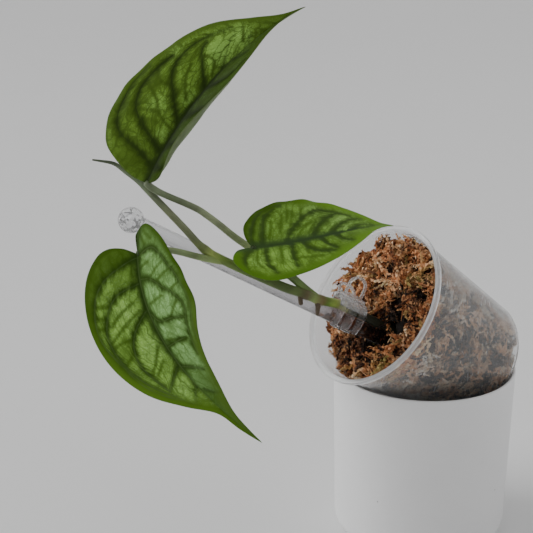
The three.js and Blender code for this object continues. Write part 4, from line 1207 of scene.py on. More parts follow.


# Painted here: the dark stops up to 0.2 add painted shade to the stem's own colour, and the pale
# stop at 0.252 is a painted highlight of the clip.
stem_skin = stem_finish("stem skin", [
    (0.0, (0.03, 0.03, 0.02)), (0.2, (0.028, 0.032, 0.02)), (0.238, (0.06, 0.07, 0.03)),
    (0.252, (0.5, 0.5, 0.26)), (0.272, (0.42, 0.46, 0.15)), (0.29, (0.3, 0.4, 0.08)),
    (0.315, (0.11, 0.2, 0.035)), (0.336, (0.2, 0.15, 0.06)), (0.356, (0.2, 0.28, 0.08)),
    (0.376, (0.12, 0.095, 0.045)), (0.4, (0.095, 0.135, 0.036)), (0.55, (0.11, 0.18, 0.035)),
    (0.61, (0.19, 0.28, 0.06)), (0.64, (0.33, 0.41, 0.11)), (0.66, (0.17, 0.21, 0.07)),
    (0.7, (0.17, 0.19, 0.1)), (0.77, (0.21, 0.23, 0.13)), (0.86, (0.14, 0.18, 0.105)),
    (1.0, (0.12, 0.145, 0.09))], 0.22)
stalk_skin = stem_finish("stalk skin", [
    (0.0, (0.26, 0.36, 0.08)), (0.25, (0.25, 0.33, 0.13)), (0.85, (0.2, 0.25, 0.13)),
    (0.96, (0.05, 0.085, 0.02)), (1.0, (0.03, 0.055, 0.012))], 0.15)
knee_skin = stem_finish("stalk skin with a pale knee", [
    (0.0, (0.13, 0.2, 0.04)), (0.15, (0.15, 0.23, 0.07)), (0.3, (0.3, 0.4, 0.13)),
    (0.6, (0.3, 0.34, 0.2)), (0.85, (0.12, 0.155, 0.075)), (0.92, (0.15, 0.19, 0.1)),
    (1.0, (0.17, 0.21, 0.12))], 0.15)
root_skin = mottled_material(
    "root skin", {"Base Color": (0.16, 0.1, 0.06), "Roughness": 0.85},
    {"Scale": 500.0, "Dark": (0.035, 0.028, 0.018), "Light": (0.18, 0.13, 0.08), "Contrast": 1.6},
    (0.7, 0.0005))[0]
skins = (stem_skin, knee_skin, stalk_skin, stalk_skin, root_skin, root_skin)
for piece, skin in zip((stem, *stalks, *root_stubs), skins):
    piece.data.materials.append(skin)
    print(piece.name, "has", skin.name)

# %% [markdown]
# ## The leaves
# The blades are heart-shaped, folded along the midrib and turned each its own way. They could be
# sculpted, but the vein pattern needs to know where it is on the leaf. So a blade is drawn flat
# first: x runs along the midrib and y across it, and each half has its own outline through a few
# points. The side veins, the threads between them and brighter spots are drawn flat as well, as
# measured in the photo. The flat blade is then folded, rolled up or down across, arched towards
# the tip and turned to its place. The surface swells a little between the side veins.

# %% Leaf outlines and bends
LEAVES = {
    "a": {
        "foot": (-161.9, -66.1, 242), "along": (0.418, 0.174, 0.892),
        "light": (-0.504, -0.772, 0.387), "length": 131.7, "arch": (0.25, 0.2, 0.3),
        "sway": (-0.54, 0.22),
        "glow": [(79, 8, 8, 1.0), (93, 6, 7, 0.9), (38, 17, 7, 0.6), (27, 5, 4, 0.6),
                 (51, 3, 5, 0.5), (16, 13, 4, 0.3), (64, 26, 5, 0.6), (29, 26, 7, -0.9),
                 (47, 25, 6, -0.8), (68, 16, 4, -0.5), (30, 13, 4, -0.6), (10, 8, 9, -0.6),
                 (5, 18, 8, -0.5)],
        "plus": {
            "fold": (0.6, 0, -0.2), "curl": (-0.35, 0, 0.12), "wave": (0.6, 17, 0),
            "shine": (0.5, 0.7, 0.85, 0.8, 1, 1, 0.6),
            "edge": [(0, 0), (0, 8), (4, 20), (10, 30), (21, 35), (36, 36), (60, 31), (84, 23),
                     (104, 10), (118, 2.6)],
            "veins": [
                [(10, 2), (14, 12), (17, 25), (22, 30), (36, 33), (52, 32)],
                [(19, 1), (26, 16), (31, 24), (37, 27), (45, 28), (62, 25)],
                [(37, 1), (48, 12), (54, 18), (62, 21), (78, 19), (95, 11)],
                [(60, 0), (69, 10), (74, 15), (78, 16)], [(74, 0), (84, 6), (90, 9), (95, 9)],
                [(92, 0), (95, 2), (99, 6)]],
            "threads": [
                [(44, 25), (41, 18), (35, 11), (32, 3)], [(65, 14), (57, 11), (49, 4)],
                [(54, 28), (49, 22), (50, 16)], [(73, 12), (74, 6), (68, 2)], [(97, 9), (92, 3)],
                [(32, 22), (36, 13)], [(29, 31), (34, 26)]]},
        "minus": {
            "fold": (-0.05, 0, 0, 1.3), "curl": (3.6, -5.6, 3.6), "wave": (0, 20, 0),
            "shine": (0.2, 0.3, 0.3, 0.4, 0.4, 0.4),
            "edge": [(0, 0), (3, 5), (8, 11.5), (16, 18), (28, 24), (44, 27), (62, 26), (84, 18),
                     (104, 6.5), (118, 2.2)],
            "veins": [
                [(10, 2), (12, 8), (17, 14)], [(24, 1), (33, 12), (46, 20)],
                [(42, 1), (54, 10), (70, 16)], [(62, 1), (73, 8), (86, 11)], [(82, 1), (90, 5)]],
            "threads": [
                [(30, 3), (38, 10)], [(52, 3), (62, 10)]]},
    },
    "b": {
        "foot": (-165.8, -82.9, 207.3), "along": (0.006, -0.405, -0.915),
        "light": (-0.423, -0.83, 0.364), "length": 127.1, "arch": (0, 0.3, 0.5),
        "sway": (1.91, -1.22),
        "glow": [(28, -12, 7, 0.4), (50, -8, 8, 0.4), (76, -6, 5, 0.4), (46, -20, 5, -0.7),
                 (82, 8, 5, -0.6), (6, -19, 5, 0.3), (14, 3, 5, -0.5), (-7, 8, 5, -0.2),
                 (9, -5, 4, -0.6)],
        "plus": {
            "fold": (0.42, 0, -0.13), "curl": (-0.25, 0, 0.08), "wave": (0.5, 26, 1),
            "shine": (0.5, 0.78, 0.95, 1, 0.8, 0.5, 0.2),
            "edge": [(0, 0), (-11, -1), (-16, 6), (-11, 16), (3, 27), (26, 33), (46, 31.5),
                     (66, 20), (86, 12), (103, 4.5), (116, 1.8)],
            "veins": [
                [(3, 0), (-1, 5), (-3, 12), (1, 18), (9, 23), (21, 28), (37, 30), (62, 21)],
                [(14, 1), (16, 9), (23, 16), (32, 23), (42, 25), (51, 21), (68, 15)],
                [(34, 1), (40, 5), (43, 14), (47, 22)], [(54, 1), (55, 8), (57, 15)],
                [(67, 1), (71, 6), (76, 11)], [(84, 2), (91, 8)]],
            "threads": [
                [(-8, 11), (-12, 5)], [(-5, 6), (-11, 2)], [(5, 9), (8, 2)], [(7, 19), (14, 10)],
                [(13, 24), (18, 14)], [(25, 28), (27, 22)], [(28, 14), (29, 4)],
                [(36, 22), (42, 14)], [(58, 16), (51, 3)]]},
        "minus": {
            "fold": (0.42, 0, -0.13), "curl": (-0.25, 0, 0.08), "wave": (0, 20, 0),
            "shine": (0.12, 0.75, 0.95, 1, 0.95, 0.6),
            "edge": [(0, 0), (-3, 9), (-2, 18), (8, 28), (24, 33), (44, 32), (66, 24), (84, 12),
                     (98, 3), (112, 1.6)],
            "veins": [
                [(2, 1), (9, 15), (13, 21), (19, 26), (33, 30), (52, 25), (65, 21), (88, 6)],
                [(16, 1), (20, 15), (31, 24), (39, 26), (58, 22), (81, 10)],
                [(31, 1), (40, 12), (47, 16), (55, 17), (72, 13)], [(66, 2), (73, 13)],
                [(79, 0), (86, 7)]],
            "threads": [
                [(25, 7), (29, 16), (32, 21)], [(30, 5), (36, 18), (39, 25)],
                [(42, 13), (41, 18), (41, 24)], [(49, 19), (51, 24)], [(51, 4), (57, 9), (61, 14)],
                [(59, 6), (63, 12)], [(23, 20), (22, 26)], [(28, 23), (26, 29)],
                [(32, 24), (31, 30)]]},
    },
    "c": {
        "foot": (-104.3, -77.9, 209.4), "along": (0.922, 0.386, -0.035),
        "light": (0.28, -0.6, 0.75), "length": 113.1, "arch": (0.3, 0.2, 0.2),
        "sway": (0.63, -0.32),
        "glow": [(61, 6, 9, 0.8), (-1, -11, 5, 0.6), (8, 10, 4, 0.5), (44, 18, 6, 0.6),
                 (14, -8, 7, 0.4)],
        "plus": {
            "fold": (0.3, 0, -0.09), "curl": (-0.3, 0, 0.09), "wave": (0.9, 20, 1.6),
            "shine": (0.25, 0.35, 0.85, 0.95, 1, 1, 0.7),
            "edge": [(0, 0), (-3, 5), (-3, 12), (6, 20), (24, 24), (42, 22.5), (62, 16), (80, 8),
                     (96, 1.6)],
            "veins": [
                [(0, 2), (1, 9), (6, 17), (14, 21), (24, 22)], [(6, 1), (8, 9), (11, 16), (18, 20)],
                [(21, 0), (24, 5), (31, 10), (39, 14), (48, 15), (70, 8)],
                [(38, 0), (42, 5), (50, 9), (59, 11)], [(51, 0), (58, 4), (69, 6), (79, 5)],
                [(65, 0), (75, 2), (87, 1)]],
            "threads": [
                [(14, 13), (11, 4)], [(22, 16), (18, 6)], [(27, 18), (24, 12)],
                [(30, 17), (26, 10)], [(36, 17), (34, 12)], [(40, 9), (34, 7), (28, 2)],
                [(43, 9), (38, 5), (36, 3)], [(50, 9), (42, 4), (39, 2)], [(57, 5), (51, 2)]]},
        "minus": {
            "fold": (0.3, 0, -0.09), "curl": (-0.3, 0, 0.09), "wave": (0, 20, 0),
            "shine": (0.25, 0.95, 0.95, 0.9, 0.8, 0.8, 0.6),
            "edge": [(0, 0), (-9, 1), (-14, 8), (-10, 17), (2, 24), (20, 22.5), (44, 17), (66, 10),
                     (84, 4), (98, 1.5)],
            "veins": [
                [(0, 1), (-5, 5), (-8, 11), (-7, 18), (-2, 21)], [(7, 1), (5, 9), (5, 15), (7, 20)],
                [(23, 2), (20, 10), (19, 17)], [(30, 2), (32, 7), (37, 10), (46, 12)],
                [(43, 1), (44, 6), (48, 11)], [(54, 1), (57, 6), (63, 8)]],
            "threads": [
                [(2, 2), (-1, 11), (0, 15)], [(15, 3), (13, 11), (12, 14)], [(30, 5), (29, 10)],
                [(21, 12), (28, 13), (36, 14)], [(53, 1), (54, 6)]]},
    },
}
CURL_WIDTH, FAN, BLADE = 36.0, 0.3, 0.55
SPINE_STEPS, SLOPE_STEP = 160, 0.4


def polynomial(factors, t):
    """factors[0] + factors[1] t + factors[2] t squared and so on."""
    return sum(k * t ** i for i, k in enumerate(factors))


# %% The bent leaf surface
def leaf_frames(leaf, t):
    """Ahead, across and up at 0 to 1 of the blade: the start directions turned down by the arch
    and sideways by the sway, both polynomials of t."""
    along = unit(np.array(leaf["along"]))
    up = np.array(leaf["light"])
    up = unit(up - along * up.dot(along))
    over = np.cross(up, along)
    a = (t * polynomial(leaf["arch"], t))[..., None]
    b = (t * polynomial(leaf["sway"], t))[..., None]
    ahead = np.cos(a) * np.cos(b) * along + np.cos(a) * np.sin(b) * over - np.sin(a) * up
    across = np.cos(b) * over - np.sin(b) * along
    return ahead, across, np.cross(ahead, across)


def leaf_surface(leaf, x, y):
    """Places of flat points (x, y): the midrib is the running sum of the ahead direction, and each
    half leaves it turned by its fold, which grows with |y| by its curl, as an arc of a circle."""
    ahead = leaf_frames(leaf, (np.arange(SPINE_STEPS) + 0.5) / SPINE_STEPS)[0]
    run = np.cumsum(ahead * leaf["length"] / SPINE_STEPS, axis=0)
    spine = np.vstack([leaf["foot"], leaf["foot"] + run])
    t = np.clip(x / leaf["length"], 0, 1)
    ahead, across, up = leaf_frames(leaf, t)
    knots = np.linspace(0, 1, SPINE_STEPS + 1)
    base = np.stack([np.interp(t, knots, axis) for axis in spine.T], axis=-1)
    base = base + ahead * np.minimum(x, 0)[..., None]
    fold, curl = [np.where(y >= 0, polynomial(leaf["plus"][bend], t),
                           polynomial(leaf["minus"][bend], t)) for bend in ("fold", "curl")]
    turn = fold + curl * np.abs(y) / CURL_WIDTH
    out = (np.sin(turn) - np.sin(fold)) * CURL_WIDTH / curl
    lift = -(np.cos(turn) - np.cos(fold)) * CURL_WIDTH / curl
    return base + across * (np.sign(y) * out)[..., None] + up * lift[..., None]


# %% Distances to the veins
VEIN_BACK, VEIN_AHEAD, VEIN_GAP, FAR_VEIN = 8, 40, 0.4, 12.0
VEIN_STEPS, THREAD_STEPS = 140, 40


def vein_map(half, x, y):
    """For flat points of one half: the distance to the nearest side vein, the distance to the
    nearest thread between them, the shine of the field they lie in, and net coordinates. A point
    is beyond a vein when it lies on its tip side, and its field is the number of veins it is
    beyond in a row. The first net coordinate grows by 1 from vein to vein, the second is the
    length along the two veins mixed by nearness."""
    points = rows_of(x, np.abs(y))
    each = np.arange(len(points))
    gaps, runs, passed = [], [], []
    for vein in half["veins"]:
        line = smooth_path(vein, VEIN_STEPS)[0]
        back, ahead = unit(line[0] - line[1]), unit(line[-1] - line[-2])
        before = line[0] + back * np.linspace(VEIN_BACK, VEIN_GAP, 20)[:, None]
        after = line[-1] + ahead * np.linspace(VEIN_GAP, VEIN_AHEAD, 50)[:, None]
        reach = np.vstack([before, line, after])
        away = points[:, None] - reach[None]
        distance = np.linalg.norm(away, axis=-1)
        nearest = distance.argmin(axis=1)
        tangent = unit(np.gradient(reach, axis=0))[nearest]
        offset = away[each, nearest]
        passed.append(tangent[:, 0] * offset[:, 1] < tangent[:, 1] * offset[:, 0])
        gaps.append(distance[:, len(before):len(before) + len(line)].min(axis=1))
        runs.append((run_along(reach) - VEIN_BACK)[nearest] + (offset * tangent).sum(axis=1))
    threads = np.vstack([smooth_path(line, THREAD_STEPS)[0] for line in half["threads"]])
    thread_gap = np.linalg.norm(points[:, None] - threads[None], axis=-1).min(axis=1)
    gaps, runs = np.array(gaps), np.array(runs)
    field = np.cumprod(passed, axis=0).sum(axis=0)
    last = len(gaps) - 1
    low, high = np.clip(field - 1, 0, last), np.clip(field, 0, last)
    from_low = np.where(field > 0, gaps[low, each], FAR_VEIN)
    from_high = np.where(field <= last, gaps[high, each], FAR_VEIN)
    share = from_low / (from_low + from_high)
    run = runs[low, each] * (1 - share) + runs[high, each] * share
    shine = np.array(half["shine"])[field]
    return [a.reshape(x.shape) for a in (gaps.min(axis=0), thread_gap, shine, field + share, run)]


# %% The blades
VEIN_SWELL, VEIN_WIDTH, THREAD_DENT, THREAD_WIDTH = 0.5, 3.4, 0.1, 1.4
MIDRIB_DENT, DENT_WIDTH, MIDRIB_RIDGE, RIDGE_WIDTH = 0.15, 1.8, 0.75, 1.1
WAVE_START, WAVE_END, WAVE_FADE = 12, 0.62, 20
FLAT_MARGIN, FLAT_MIDRIB, THIN_EDGE, THIN_REACH = 7, 6, 0.45, 4


def flat_blade(leaf, rows, columns):
    """The flat blade as arrays (rows, 2 * columns - 1): x, y, the distance to the margin, the wave
    of the margin, which is a sine of x, and what vein_map gives. Lines across leave the midrib
    and bend forward to the margin, as the side veins do."""
    u, v = np.linspace(0, 1, rows), np.linspace(0, 1, columns) ** 0.9
    on_rib = np.maximum(0, (u - FAN) / (1 - FAN)) * leaf["length"]
    halves = []
    for name, sign in (("minus", -1), ("plus", 1)):
        half = leaf[name]
        edge = smooth_path(half["edge"] + [(leaf["length"], 0)], rows)[0]
        x = on_rib[:, None] + (edge[:, 0] - on_rib)[:, None] * v ** 1.35
        y = sign * edge[:, 1:] * v
        margin = np.linalg.norm(edge - rows_of(on_rib, 0.0), axis=1)[:, None] * (1 - v)
        size, pitch, phase = half["wave"]
        to_end = (leaf["length"] * WAVE_END - x) / WAVE_FADE
        fade = np.clip(x / WAVE_START, 0, 1) * np.clip(to_end, 0, 1)
        wave = size * np.sin(FULL_TURN * x / pitch + phase) * v ** 4 * fade
        maps = [x, y, margin, wave] + vein_map(half, x, y)
        halves.append([a[:, :0:-1] for a in maps] if sign < 0 else maps)
    return [np.concatenate(pair, axis=1) for pair in zip(*halves)]


def blade_mesh(key, rows=200, columns=60):
    """A closed blade: upper and lower faces half a thickness each side of the surface, joined
    round the edge, with a soft swelling between the veins. UV maps: "flat" holds x and y in
    decimetres, and "net" the net coordinates. Attributes: distances in mm to the nearest side
    vein, thread and margin, the shine of the field, and the glow of the measured spots."""
    leaf = LEAVES[key]
    x, y, margin, wave, near, thread, shine, field, run = flat_blade(leaf, rows, columns)
    surface = leaf_surface(leaf, x, y)
    dx = leaf_surface(leaf, x + SLOPE_STEP, y) - leaf_surface(leaf, x - SLOPE_STEP, y)
    dy = leaf_surface(leaf, x, y + SLOPE_STEP) - leaf_surface(leaf, x, y - SLOPE_STEP)
    normal = unit(np.cross(dx, dy))
    free = np.clip(margin / FLAT_MARGIN, 0, 1) * np.clip(np.abs(y) / FLAT_MIDRIB, 0, 1)
    swell = VEIN_SWELL * (1 - hump(near, VEIN_WIDTH)) - THREAD_DENT * hump(thread, THREAD_WIDTH)
    swell = swell * free + wave - MIDRIB_DENT * hump(y, DENT_WIDTH)
    thinning = 1 - 0.85 * np.clip(x / leaf["length"], 0, 1)
    rib = MIDRIB_RIDGE * hump(y, RIDGE_WIDTH) * thinning
    thick = BLADE * np.clip(THIN_EDGE + margin / THIN_REACH, THIN_EDGE, 1)
    upper = surface + normal * (swell + thick / 2)[..., None]
    lower = surface + normal * (swell - thick / 2 - rib)[..., None]
    points = np.vstack([upper.reshape(-1, 3), lower.reshape(-1, 3)])
    across, count = x.shape[1], x.size
    faces = grid_faces(rows, across)
    faces += [face[::-1] for face in grid_faces(rows, across, first=count)]
    row = np.arange(rows - 1) * across
    last = row + across - 1
    faces += np.stack([row, row + across, count + row + across, count + row], axis=1).tolist()
    faces += np.stack([last, count + last, count + last + across, last + across], axis=1).tolist()
    piece = add_mesh(f"leaf_{key}_silver", points, faces)
    set_uv(piece, "flat", np.tile(rows_of(x, y) / 100, (2, 1)))
    set_uv(piece, "net", np.tile(rows_of(field, run), (2, 1)))
    values = {"near": near, "thread": thread, "margin": margin, "shine": shine,
              "glow": bells(x, y, leaf["glow"])}
    for name, numbers in values.items():
        set_value(piece, name, np.tile(numbers.ravel(), 2))
    set_value(piece, "underside", np.repeat([0.0, 1.0], count))
    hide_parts(f"leaf_blade_{key}")
    return piece


def close_poles(piece):
    """Merges points that lie together at the foot and the tip, and points all faces outwards."""
    mesh = bmesh.new()
    mesh.from_mesh(piece.data)
    bmesh.ops.remove_doubles(mesh, verts=mesh.verts, dist=2e-6)
    bmesh.ops.dissolve_degenerate(mesh, dist=1e-6, edges=mesh.edges)
    bmesh.ops.recalc_face_normals(mesh, faces=mesh.faces)
    mesh.to_mesh(piece.data)
    mesh.free()


blades = {key: blade_mesh(key) for key in LEAVES}
for piece in blades.values():
    close_poles(piece)
print("blades", [len(p.data.polygons) for p in blades.values()])

# %% [markdown]
# ### The silver pattern
# Dark green runs along the midrib and the side veins. Between them lie silvery patches, crossed
# by threads and a fine net of darker veins. An image could be painted on, but the pattern follows
# the veins, so one node group draws it for all three leaves from the distances kept with each
# mesh. The bands fade out by distance with noise added, the net is the border of stretched cells
# and a row of rungs, and the glow makes a few measured patches brighter or duller. Where the glow
# is high, and in small spots of a fine noise, the silver is whitened towards a pale colour: painted
# highlights. One table holds what differs from leaf to leaf.

# %% How the three leaves look
LEAF_LOOKS = {
    "Dark": ((0.028, 0.052, 0.006), (0.03, 0.062, 0.008), (0.046, 0.092, 0.011)),
    "Green": ((0.055, 0.1, 0.011), (0.053, 0.108, 0.011), (0.078, 0.16, 0.013)),
    "Silver minus": ((0.09, 0.18, 0.04), (0.26, 0.47, 0.085), (0.25, 0.47, 0.065)),
    "Silver plus": ((0.21, 0.38, 0.052), (0.25, 0.46, 0.165), (0.24, 0.45, 0.07)),
    "Pale": ((0.32, 0.58, 0.13), (0.37, 0.61, 0.21), (0.34, 0.58, 0.16)),
    "Edge minus": ((0.056, 0.1, 0.011), (0.046, 0.094, 0.009), (0.09, 0.2, 0.012)),
    "Edge plus": ((0.062, 0.115, 0.011), (0.042, 0.09, 0.007), (0.058, 0.122, 0.01)),
    "Tip edge minus": ((0.075, 0.13, 0.016), (0.09, 0.18, 0.018), (0.15, 0.31, 0.022)),
    "Tip edge plus": ((0.08, 0.145, 0.017), (0.075, 0.14, 0.02), (0.15, 0.31, 0.022)),
    "Heart": ((0.03, 0.055, 0.009), (0.03, 0.062, 0.01), (0.046, 0.088, 0.026)),
    "Line": ((0.02, 0.036, 0.006), (0.09, 0.14, 0.05), (0.05, 0.09, 0.025)),
    "Minus shade": (0.6, 1.0, 1.0), "Band": (5.6, 4.2, 3.4), "Heart reach": (2.4, 5.4, 3.8),
    "Heart end": (1.0, 1.0, 0.75), "Margin reach": (4.0, 6.5, 6.0),
    "Line strength": (0.5, 0.4, 0.25), "Rungs": (0.12, 0.16, 0.1), "Net across": (2.2, 1.6, 4.0),
    "Net along": (0.19, 0.17, 0.07), "Net depth": (0.72, 0.5, 0.6), "Patch floor": (0.45, 0.6, 0.4),
}

# %% The silver pattern group
silver, pen, entry, leave = shader_group(
    "silver pattern", {key: looks[0] for key, looks in LEAF_LOOKS.items()},
    {"Color": "Color", "Patch": "Float", "Height": "Float"})
flat = pen.uv("flat")
flat_x, flat_y = pen.axes(flat)
net_x, net_y = pen.axes(pen.uv("net"))
near, thread, margin, shine, glow = [
    pen.value(name) for name in ("near", "thread", "margin", "shine", "glow")]
rib_away = pen.math("ABSOLUTE", flat_y) * 100.0
which_half = pen.math("SIGN", flat_y)
warp = pen.noise(flat, 22.0) - 0.5
fuzz = pen.noise(flat, 75.0, detail=2.0) - 0.5
wide_warp = pen.noise(flat, 7.0, detail=2.0) - 0.5
across_fields = pen.wire("CombineXYZ", {
    "X": net_x * 1.3, "Y": net_y * 0.42, "Z": which_half * 7.0})
feather = pen.noise(across_fields, 1.0, detail=2.0) - 0.5
ragged = warp * 2.6 + feather * 3.4

# %% Where the silver is kept away
tip_share = pen.step(flat_x, 0.45, 0.95) + 1.0
warped = near * tip_share + ragged + (rib_away - 8.0) * 0.03
near_tip = pen.step(flat_x, 0.6, 1.0, 0.0, 0.85)
off_vein = pen.step(warped, 0.1, entry["Band"], near_tip)
off_thread = pen.step(thread + fuzz * 1.4, 0.0, 1.9, 0.15, 1.0)
heart_share = pen.step(flat_x / entry["Heart end"], 0.3, 1.0, 1.0, 0.1)
heart_reach = entry["Heart reach"] * heart_share + 0.9
off_rib = pen.step(rib_away + ragged * 0.7, 0.1, heart_reach, near_tip)
off_edge = pen.step(margin + wide_warp * 5.0, 0.8, entry["Margin reach"])

# %% The net and the patches
rung_at = net_y * entry["Rungs"] + (pen.math("FLOOR", net_x) * 0.37 + warp)
rung = pen.step(pen.math("PINGPONG", rung_at, 0.5) / entry["Rungs"], 1.1, 0.1)
some = pen.noise(pen.place(across_fields, (0.6, 0.25, 1.0)), 1.0, detail=1.0)
rung = 1.0 - rung * pen.step(some, 0.45, 0.62, 0.0, 0.6)
net_place = pen.wire("CombineXYZ", {
    "X": net_x * entry["Net across"] + warp, "Y": net_y * entry["Net along"] + warp,
    "Z": which_half})
net = pen.step(pen.cells(net_place, 1.0), 0.0, 0.12)
fine_net = pen.step(pen.cells(flat, 36.0), 0.0, 0.13)
lace = net * (fine_net * 0.45 + 0.55)
lace_share = lace * entry["Net depth"] + (1.0 - entry["Net depth"])
blotch = pen.noise(flat, 15.0, detail=5.0, roughness=0.6)
uneven = pen.step(blotch, 0.36, 0.6, entry["Patch floor"], 1.0)
patch = off_vein * off_rib * off_edge * off_thread * shine * lace_share * rung * uneven
patch = pen.math("MULTIPLY", patch, glow * 0.75 + 1.0, clamp=True)

# %% The colours of the pattern
half = pen.step(flat_y, -0.004, 0.004)
toward_tip = pen.step(flat_x, 0.1, 0.65)
minus_edge, plus_edge = [pen.mix(toward_tip, entry["Edge " + side], entry["Tip edge " + side])
                         for side in ("minus", "plus")]
ground = pen.mix(pen.step(warped, 0.2, 4.0), entry["Dark"], entry["Green"])
ground = pen.mix(off_edge, pen.mix(half, minus_edge, plus_edge), ground)
ground = pen.mix(off_rib, entry["Heart"], ground)
sheen = pen.mix(half, entry["Silver minus"], entry["Silver plus"])
# Painted highlights: the fine glints and the high glow whiten the silver towards the pale colour.
glint = pen.step(pen.noise(flat, 120.0, detail=2.0), 0.5, 0.7) * 0.55
bright = pen.math("ADD", glint, glow * 0.5, clamp=True)
color = pen.mix(patch, ground, pen.mix(bright, sheen, entry["Pale"]))
middle = pen.step(pen.math("MINIMUM", near, rib_away * 0.8), 0.6, 0.1)
middle = middle * pen.step(flat_x, 0.95, 0.7)
color = pen.mix(middle * entry["Line strength"], color, entry["Line"])
dim = half * (1.0 - entry["Minus shade"]) + entry["Minus shade"]
pen.feed(leave.inputs["Color"], pen.shade(color, dim))
pen.feed(leave.inputs["Patch"], patch)
pen.feed(leave.inputs["Height"], lace * 0.5 + pen.step(near, 0.0, 1.2))
print("silver pattern:", len(silver.nodes), "nodes")

# %% [markdown]
# ### The leaf finish
# A leaf is satin above and duller below. Two materials could share a blade, but then the line
# between them shows at the edge, so one material asks each point whether it is on the underside.
# The silver pattern gives the colour above; below, grey green has paler veins.

# %% Leaf finishes
GLOSS = {"a": 0.07, "b": 0.015, "c": 0.06}
UNDERSIDE, UNDER_VEIN = (0.12, 0.165, 0.07), (0.2, 0.25, 0.12)


def leaf_finish(key):
    """Satin leaf skin: the silver pattern above, grey green with paler veins below, and a soft
    bump from the veins and a fine grain. The patches are a little rougher than the green."""
    material, pen, inputs = start_material(f"silver leaf {key}", {
        "Base Color": (0.1, 0.2, 0.05), "Roughness": 0.4, "Specular IOR Level": GLOSS[key]})
    looks = {name: values["abc".index(key)] for name, values in LEAF_LOOKS.items()}
    pattern = use_group(pen, silver, looks)
    flat = pen.uv("flat")
    rib_away = pen.math("ABSOLUTE", pen.axes(flat)[1]) * 60.0
    vein_away = pen.math("MINIMUM", pen.value("near"), rib_away)
    below = pen.mix(pen.step(vein_away, 1.3, 0.2, 0.0, 0.7), UNDERSIDE, UNDER_VEIN)
    below = pen.shade(below, pen.step(pen.noise(flat, 14.0), 0.3, 0.7, 0.8, 1.15))
    skin = pen.mix(pen.value("underside"), pattern["Color"], below)
    grain = pen.noise(pen.object_place(), 700.0, detail=2.0)
    pen.feed(inputs["Base Color"], skin)
    pen.feed(inputs["Roughness"], pattern["Patch"] * 0.12 + 0.38)
    pen.feed(inputs["Normal"], pen.bump(pattern["Height"] + grain * 0.25, 0.2, 0.0003))
    return material


for key, piece in blades.items():
    piece.data.materials.append(leaf_finish(key))
    print(piece.name, "has", piece.data.materials[0].name)

# %% [markdown]
# ## The claw clip
# Two clear jaws turn on one pin and are closed by a small coil spring. Their shape is right in
# the CAD solids, but sharp. They could be modelled again, but a copy of each solid with its
# doubles merged and its edges rounded by a bevel is exact. A jaw has three finishes: a crinkled
# body, clear teeth below, and rounded edges painted nearly opaque white, a painted highlight for
# where moulded edges catch the light.

# %% The jaws and the pin
CLIP_ALONG, CLIP_LEAN, TOOTH_TOP = 24.5, 25.0, 4.5
JAW_ROUND, PIN_ROUND, ROUND_FROM = 0.00055, 0.0001, 35
clip_above = round_stake(CLIP_LEAN)


def softened_copy(node, name, body, width, materials):
    """A copy of a CAD solid with merged points, flat faces joined and edges rounded. The faces of
    the rounded edges take the last material."""
    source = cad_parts[node]
    mesh = bmesh.new()
    mesh.from_mesh(source.data)
    mesh.transform(source.matrix_world)
    bmesh.ops.remove_doubles(mesh, verts=mesh.verts, dist=1e-6)
    bmesh.ops.dissolve_limit(mesh, angle_limit=0.02, verts=mesh.verts, edges=mesh.edges)
    piece = put(name, bpy.data.meshes.new(name))
    mesh.to_mesh(piece.data)
    mesh.free()
    for material in materials:
        piece.data.materials.append(material)
    bevel = piece.modifiers.new("round edges", "BEVEL")
    bevel.width, bevel.segments = width, 2
    bevel.limit_method, bevel.angle_limit = "ANGLE", math.radians(ROUND_FROM)
    bevel.material = len(materials) - 1
    apply_modifiers(piece)
    smooth_faces(piece)
    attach(piece, body)
    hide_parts(node)
    return piece


def clear_teeth(piece, height):
    """Gives the flat faces below a height along the clip's upright the second material."""
    numbers = np.empty(len(piece.data.polygons), dtype=np.int32)
    piece.data.polygons.foreach_get("material_index", numbers)
    up = (face_middles(piece) - on_stake(CLIP_ALONG)) @ clip_above
    choose_finish(piece, np.where((numbers == 0) & (up < height), 1, numbers))
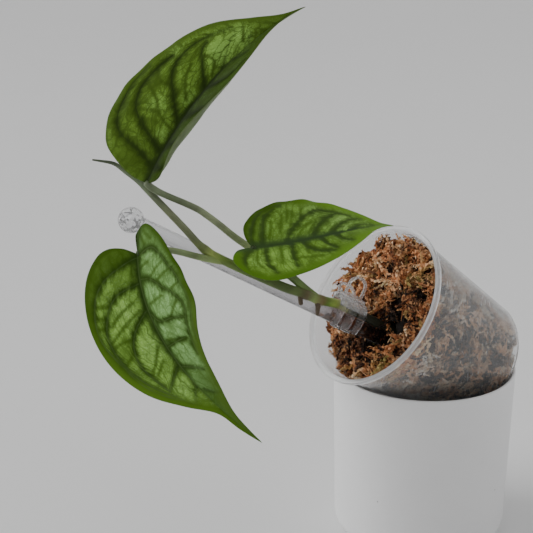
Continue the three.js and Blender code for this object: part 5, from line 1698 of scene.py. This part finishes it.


# The third finish, nearly opaque white on the rounded edges, is a painted highlight.
clip_finish = [moulded_plastic("clear clip plastic", 0.75, 1.5, 0.9, 0.8)[0],
               moulded_plastic("clear clip teeth", 0.96, 1.2, 0.2, 0.2)[0],
               moulded_plastic("clip edge with painted highlight", 0.02, 1.45, 1.0)[0]]
steel, pen, inputs = start_material("bright spring wire", {
    "Base Color": (0.6, 0.61, 0.62), "Roughness": 0.28, "Metallic": 1.0})
drawn = pen.noise(pen.object_place(), 1500.0, detail=2.0)
pen.feed(inputs["Roughness"], pen.step(drawn, 0.3, 0.7, 0.2, 0.38))
pen.feed(inputs["Normal"], pen.bump(drawn, 0.15, 0.0001))
jaw_back = softened_copy("clip_jaw_back", "jaw_back_soft", BODY, JAW_ROUND, clip_finish)
jaw_front = softened_copy("clip_jaw_front", "jaw_front_soft", JAW_BODY, JAW_ROUND, clip_finish)
pin = softened_copy("clip_hinge_pin", "hinge_pin_soft", BODY, PIN_ROUND, [steel])
for piece in (jaw_back, jaw_front):
    clear_teeth(piece, TOOTH_TOP)
print("jaws", [len(p.data.polygons) for p in (jaw_back, jaw_front)], "faces")

# %% [markdown]
# ### The spring
# A coil of steel wire on the pin, with one leg up inside the back jaw. A Screw modifier could
# turn a circle into a coil, but not add the leg, so a tube is swept along a screw line that
# ends in a straight piece.

# %% The spring
STAKE_BELOW, TAB_LEAN = 13.6, 22.0
SPRING_RADIUS, SPRING_WIRE, SPRING_TURNS = 1.45, 0.5, 2.75
SPRING_FROM, SPRING_TO, SPRING_LEG, LEG_START = 2.9, 4.6, 6.5, 0.5
pin_at = on_stake(CLIP_ALONG) + clip_above * STAKE_BELOW
clip_frame = frame_matrix(stake_up, unit(np.cross(clip_above, stake_up)), clip_above, pin_at)


def spring_path():
    """A screw line round the pin's axis X that ends in a straight leg up inside the back jaw."""
    turn = np.linspace(0, SPRING_TURNS * FULL_TURN, 110)
    a = math.pi / 2 - turn
    x = SPRING_FROM + (SPRING_TO - SPRING_FROM) * turn / turn[-1]
    coil = np.stack([x, SPRING_RADIUS * np.cos(a), SPRING_RADIUS * np.sin(a)], axis=1)
    lean = SPRING_LEG * math.tan(math.radians(TAB_LEAN))
    tip = np.array([SPRING_TO, LEG_START - SPRING_RADIUS - lean, SPRING_LEG])
    leg = coil[-1] + (tip - coil[-1]) * np.linspace(0.08, 1, 16)[:, None]
    return from_frame(clip_frame, np.vstack([coil, leg]))


wire_path = spring_path()
spring = tube_mesh("spring_wire", wire_path, np.full(len(wire_path), SPRING_WIRE / 2), 10)
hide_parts("clip_spring")
spring.data.materials.append(steel)
print("spring wire", round(run_along(wire_path)[-1]), "mm long")
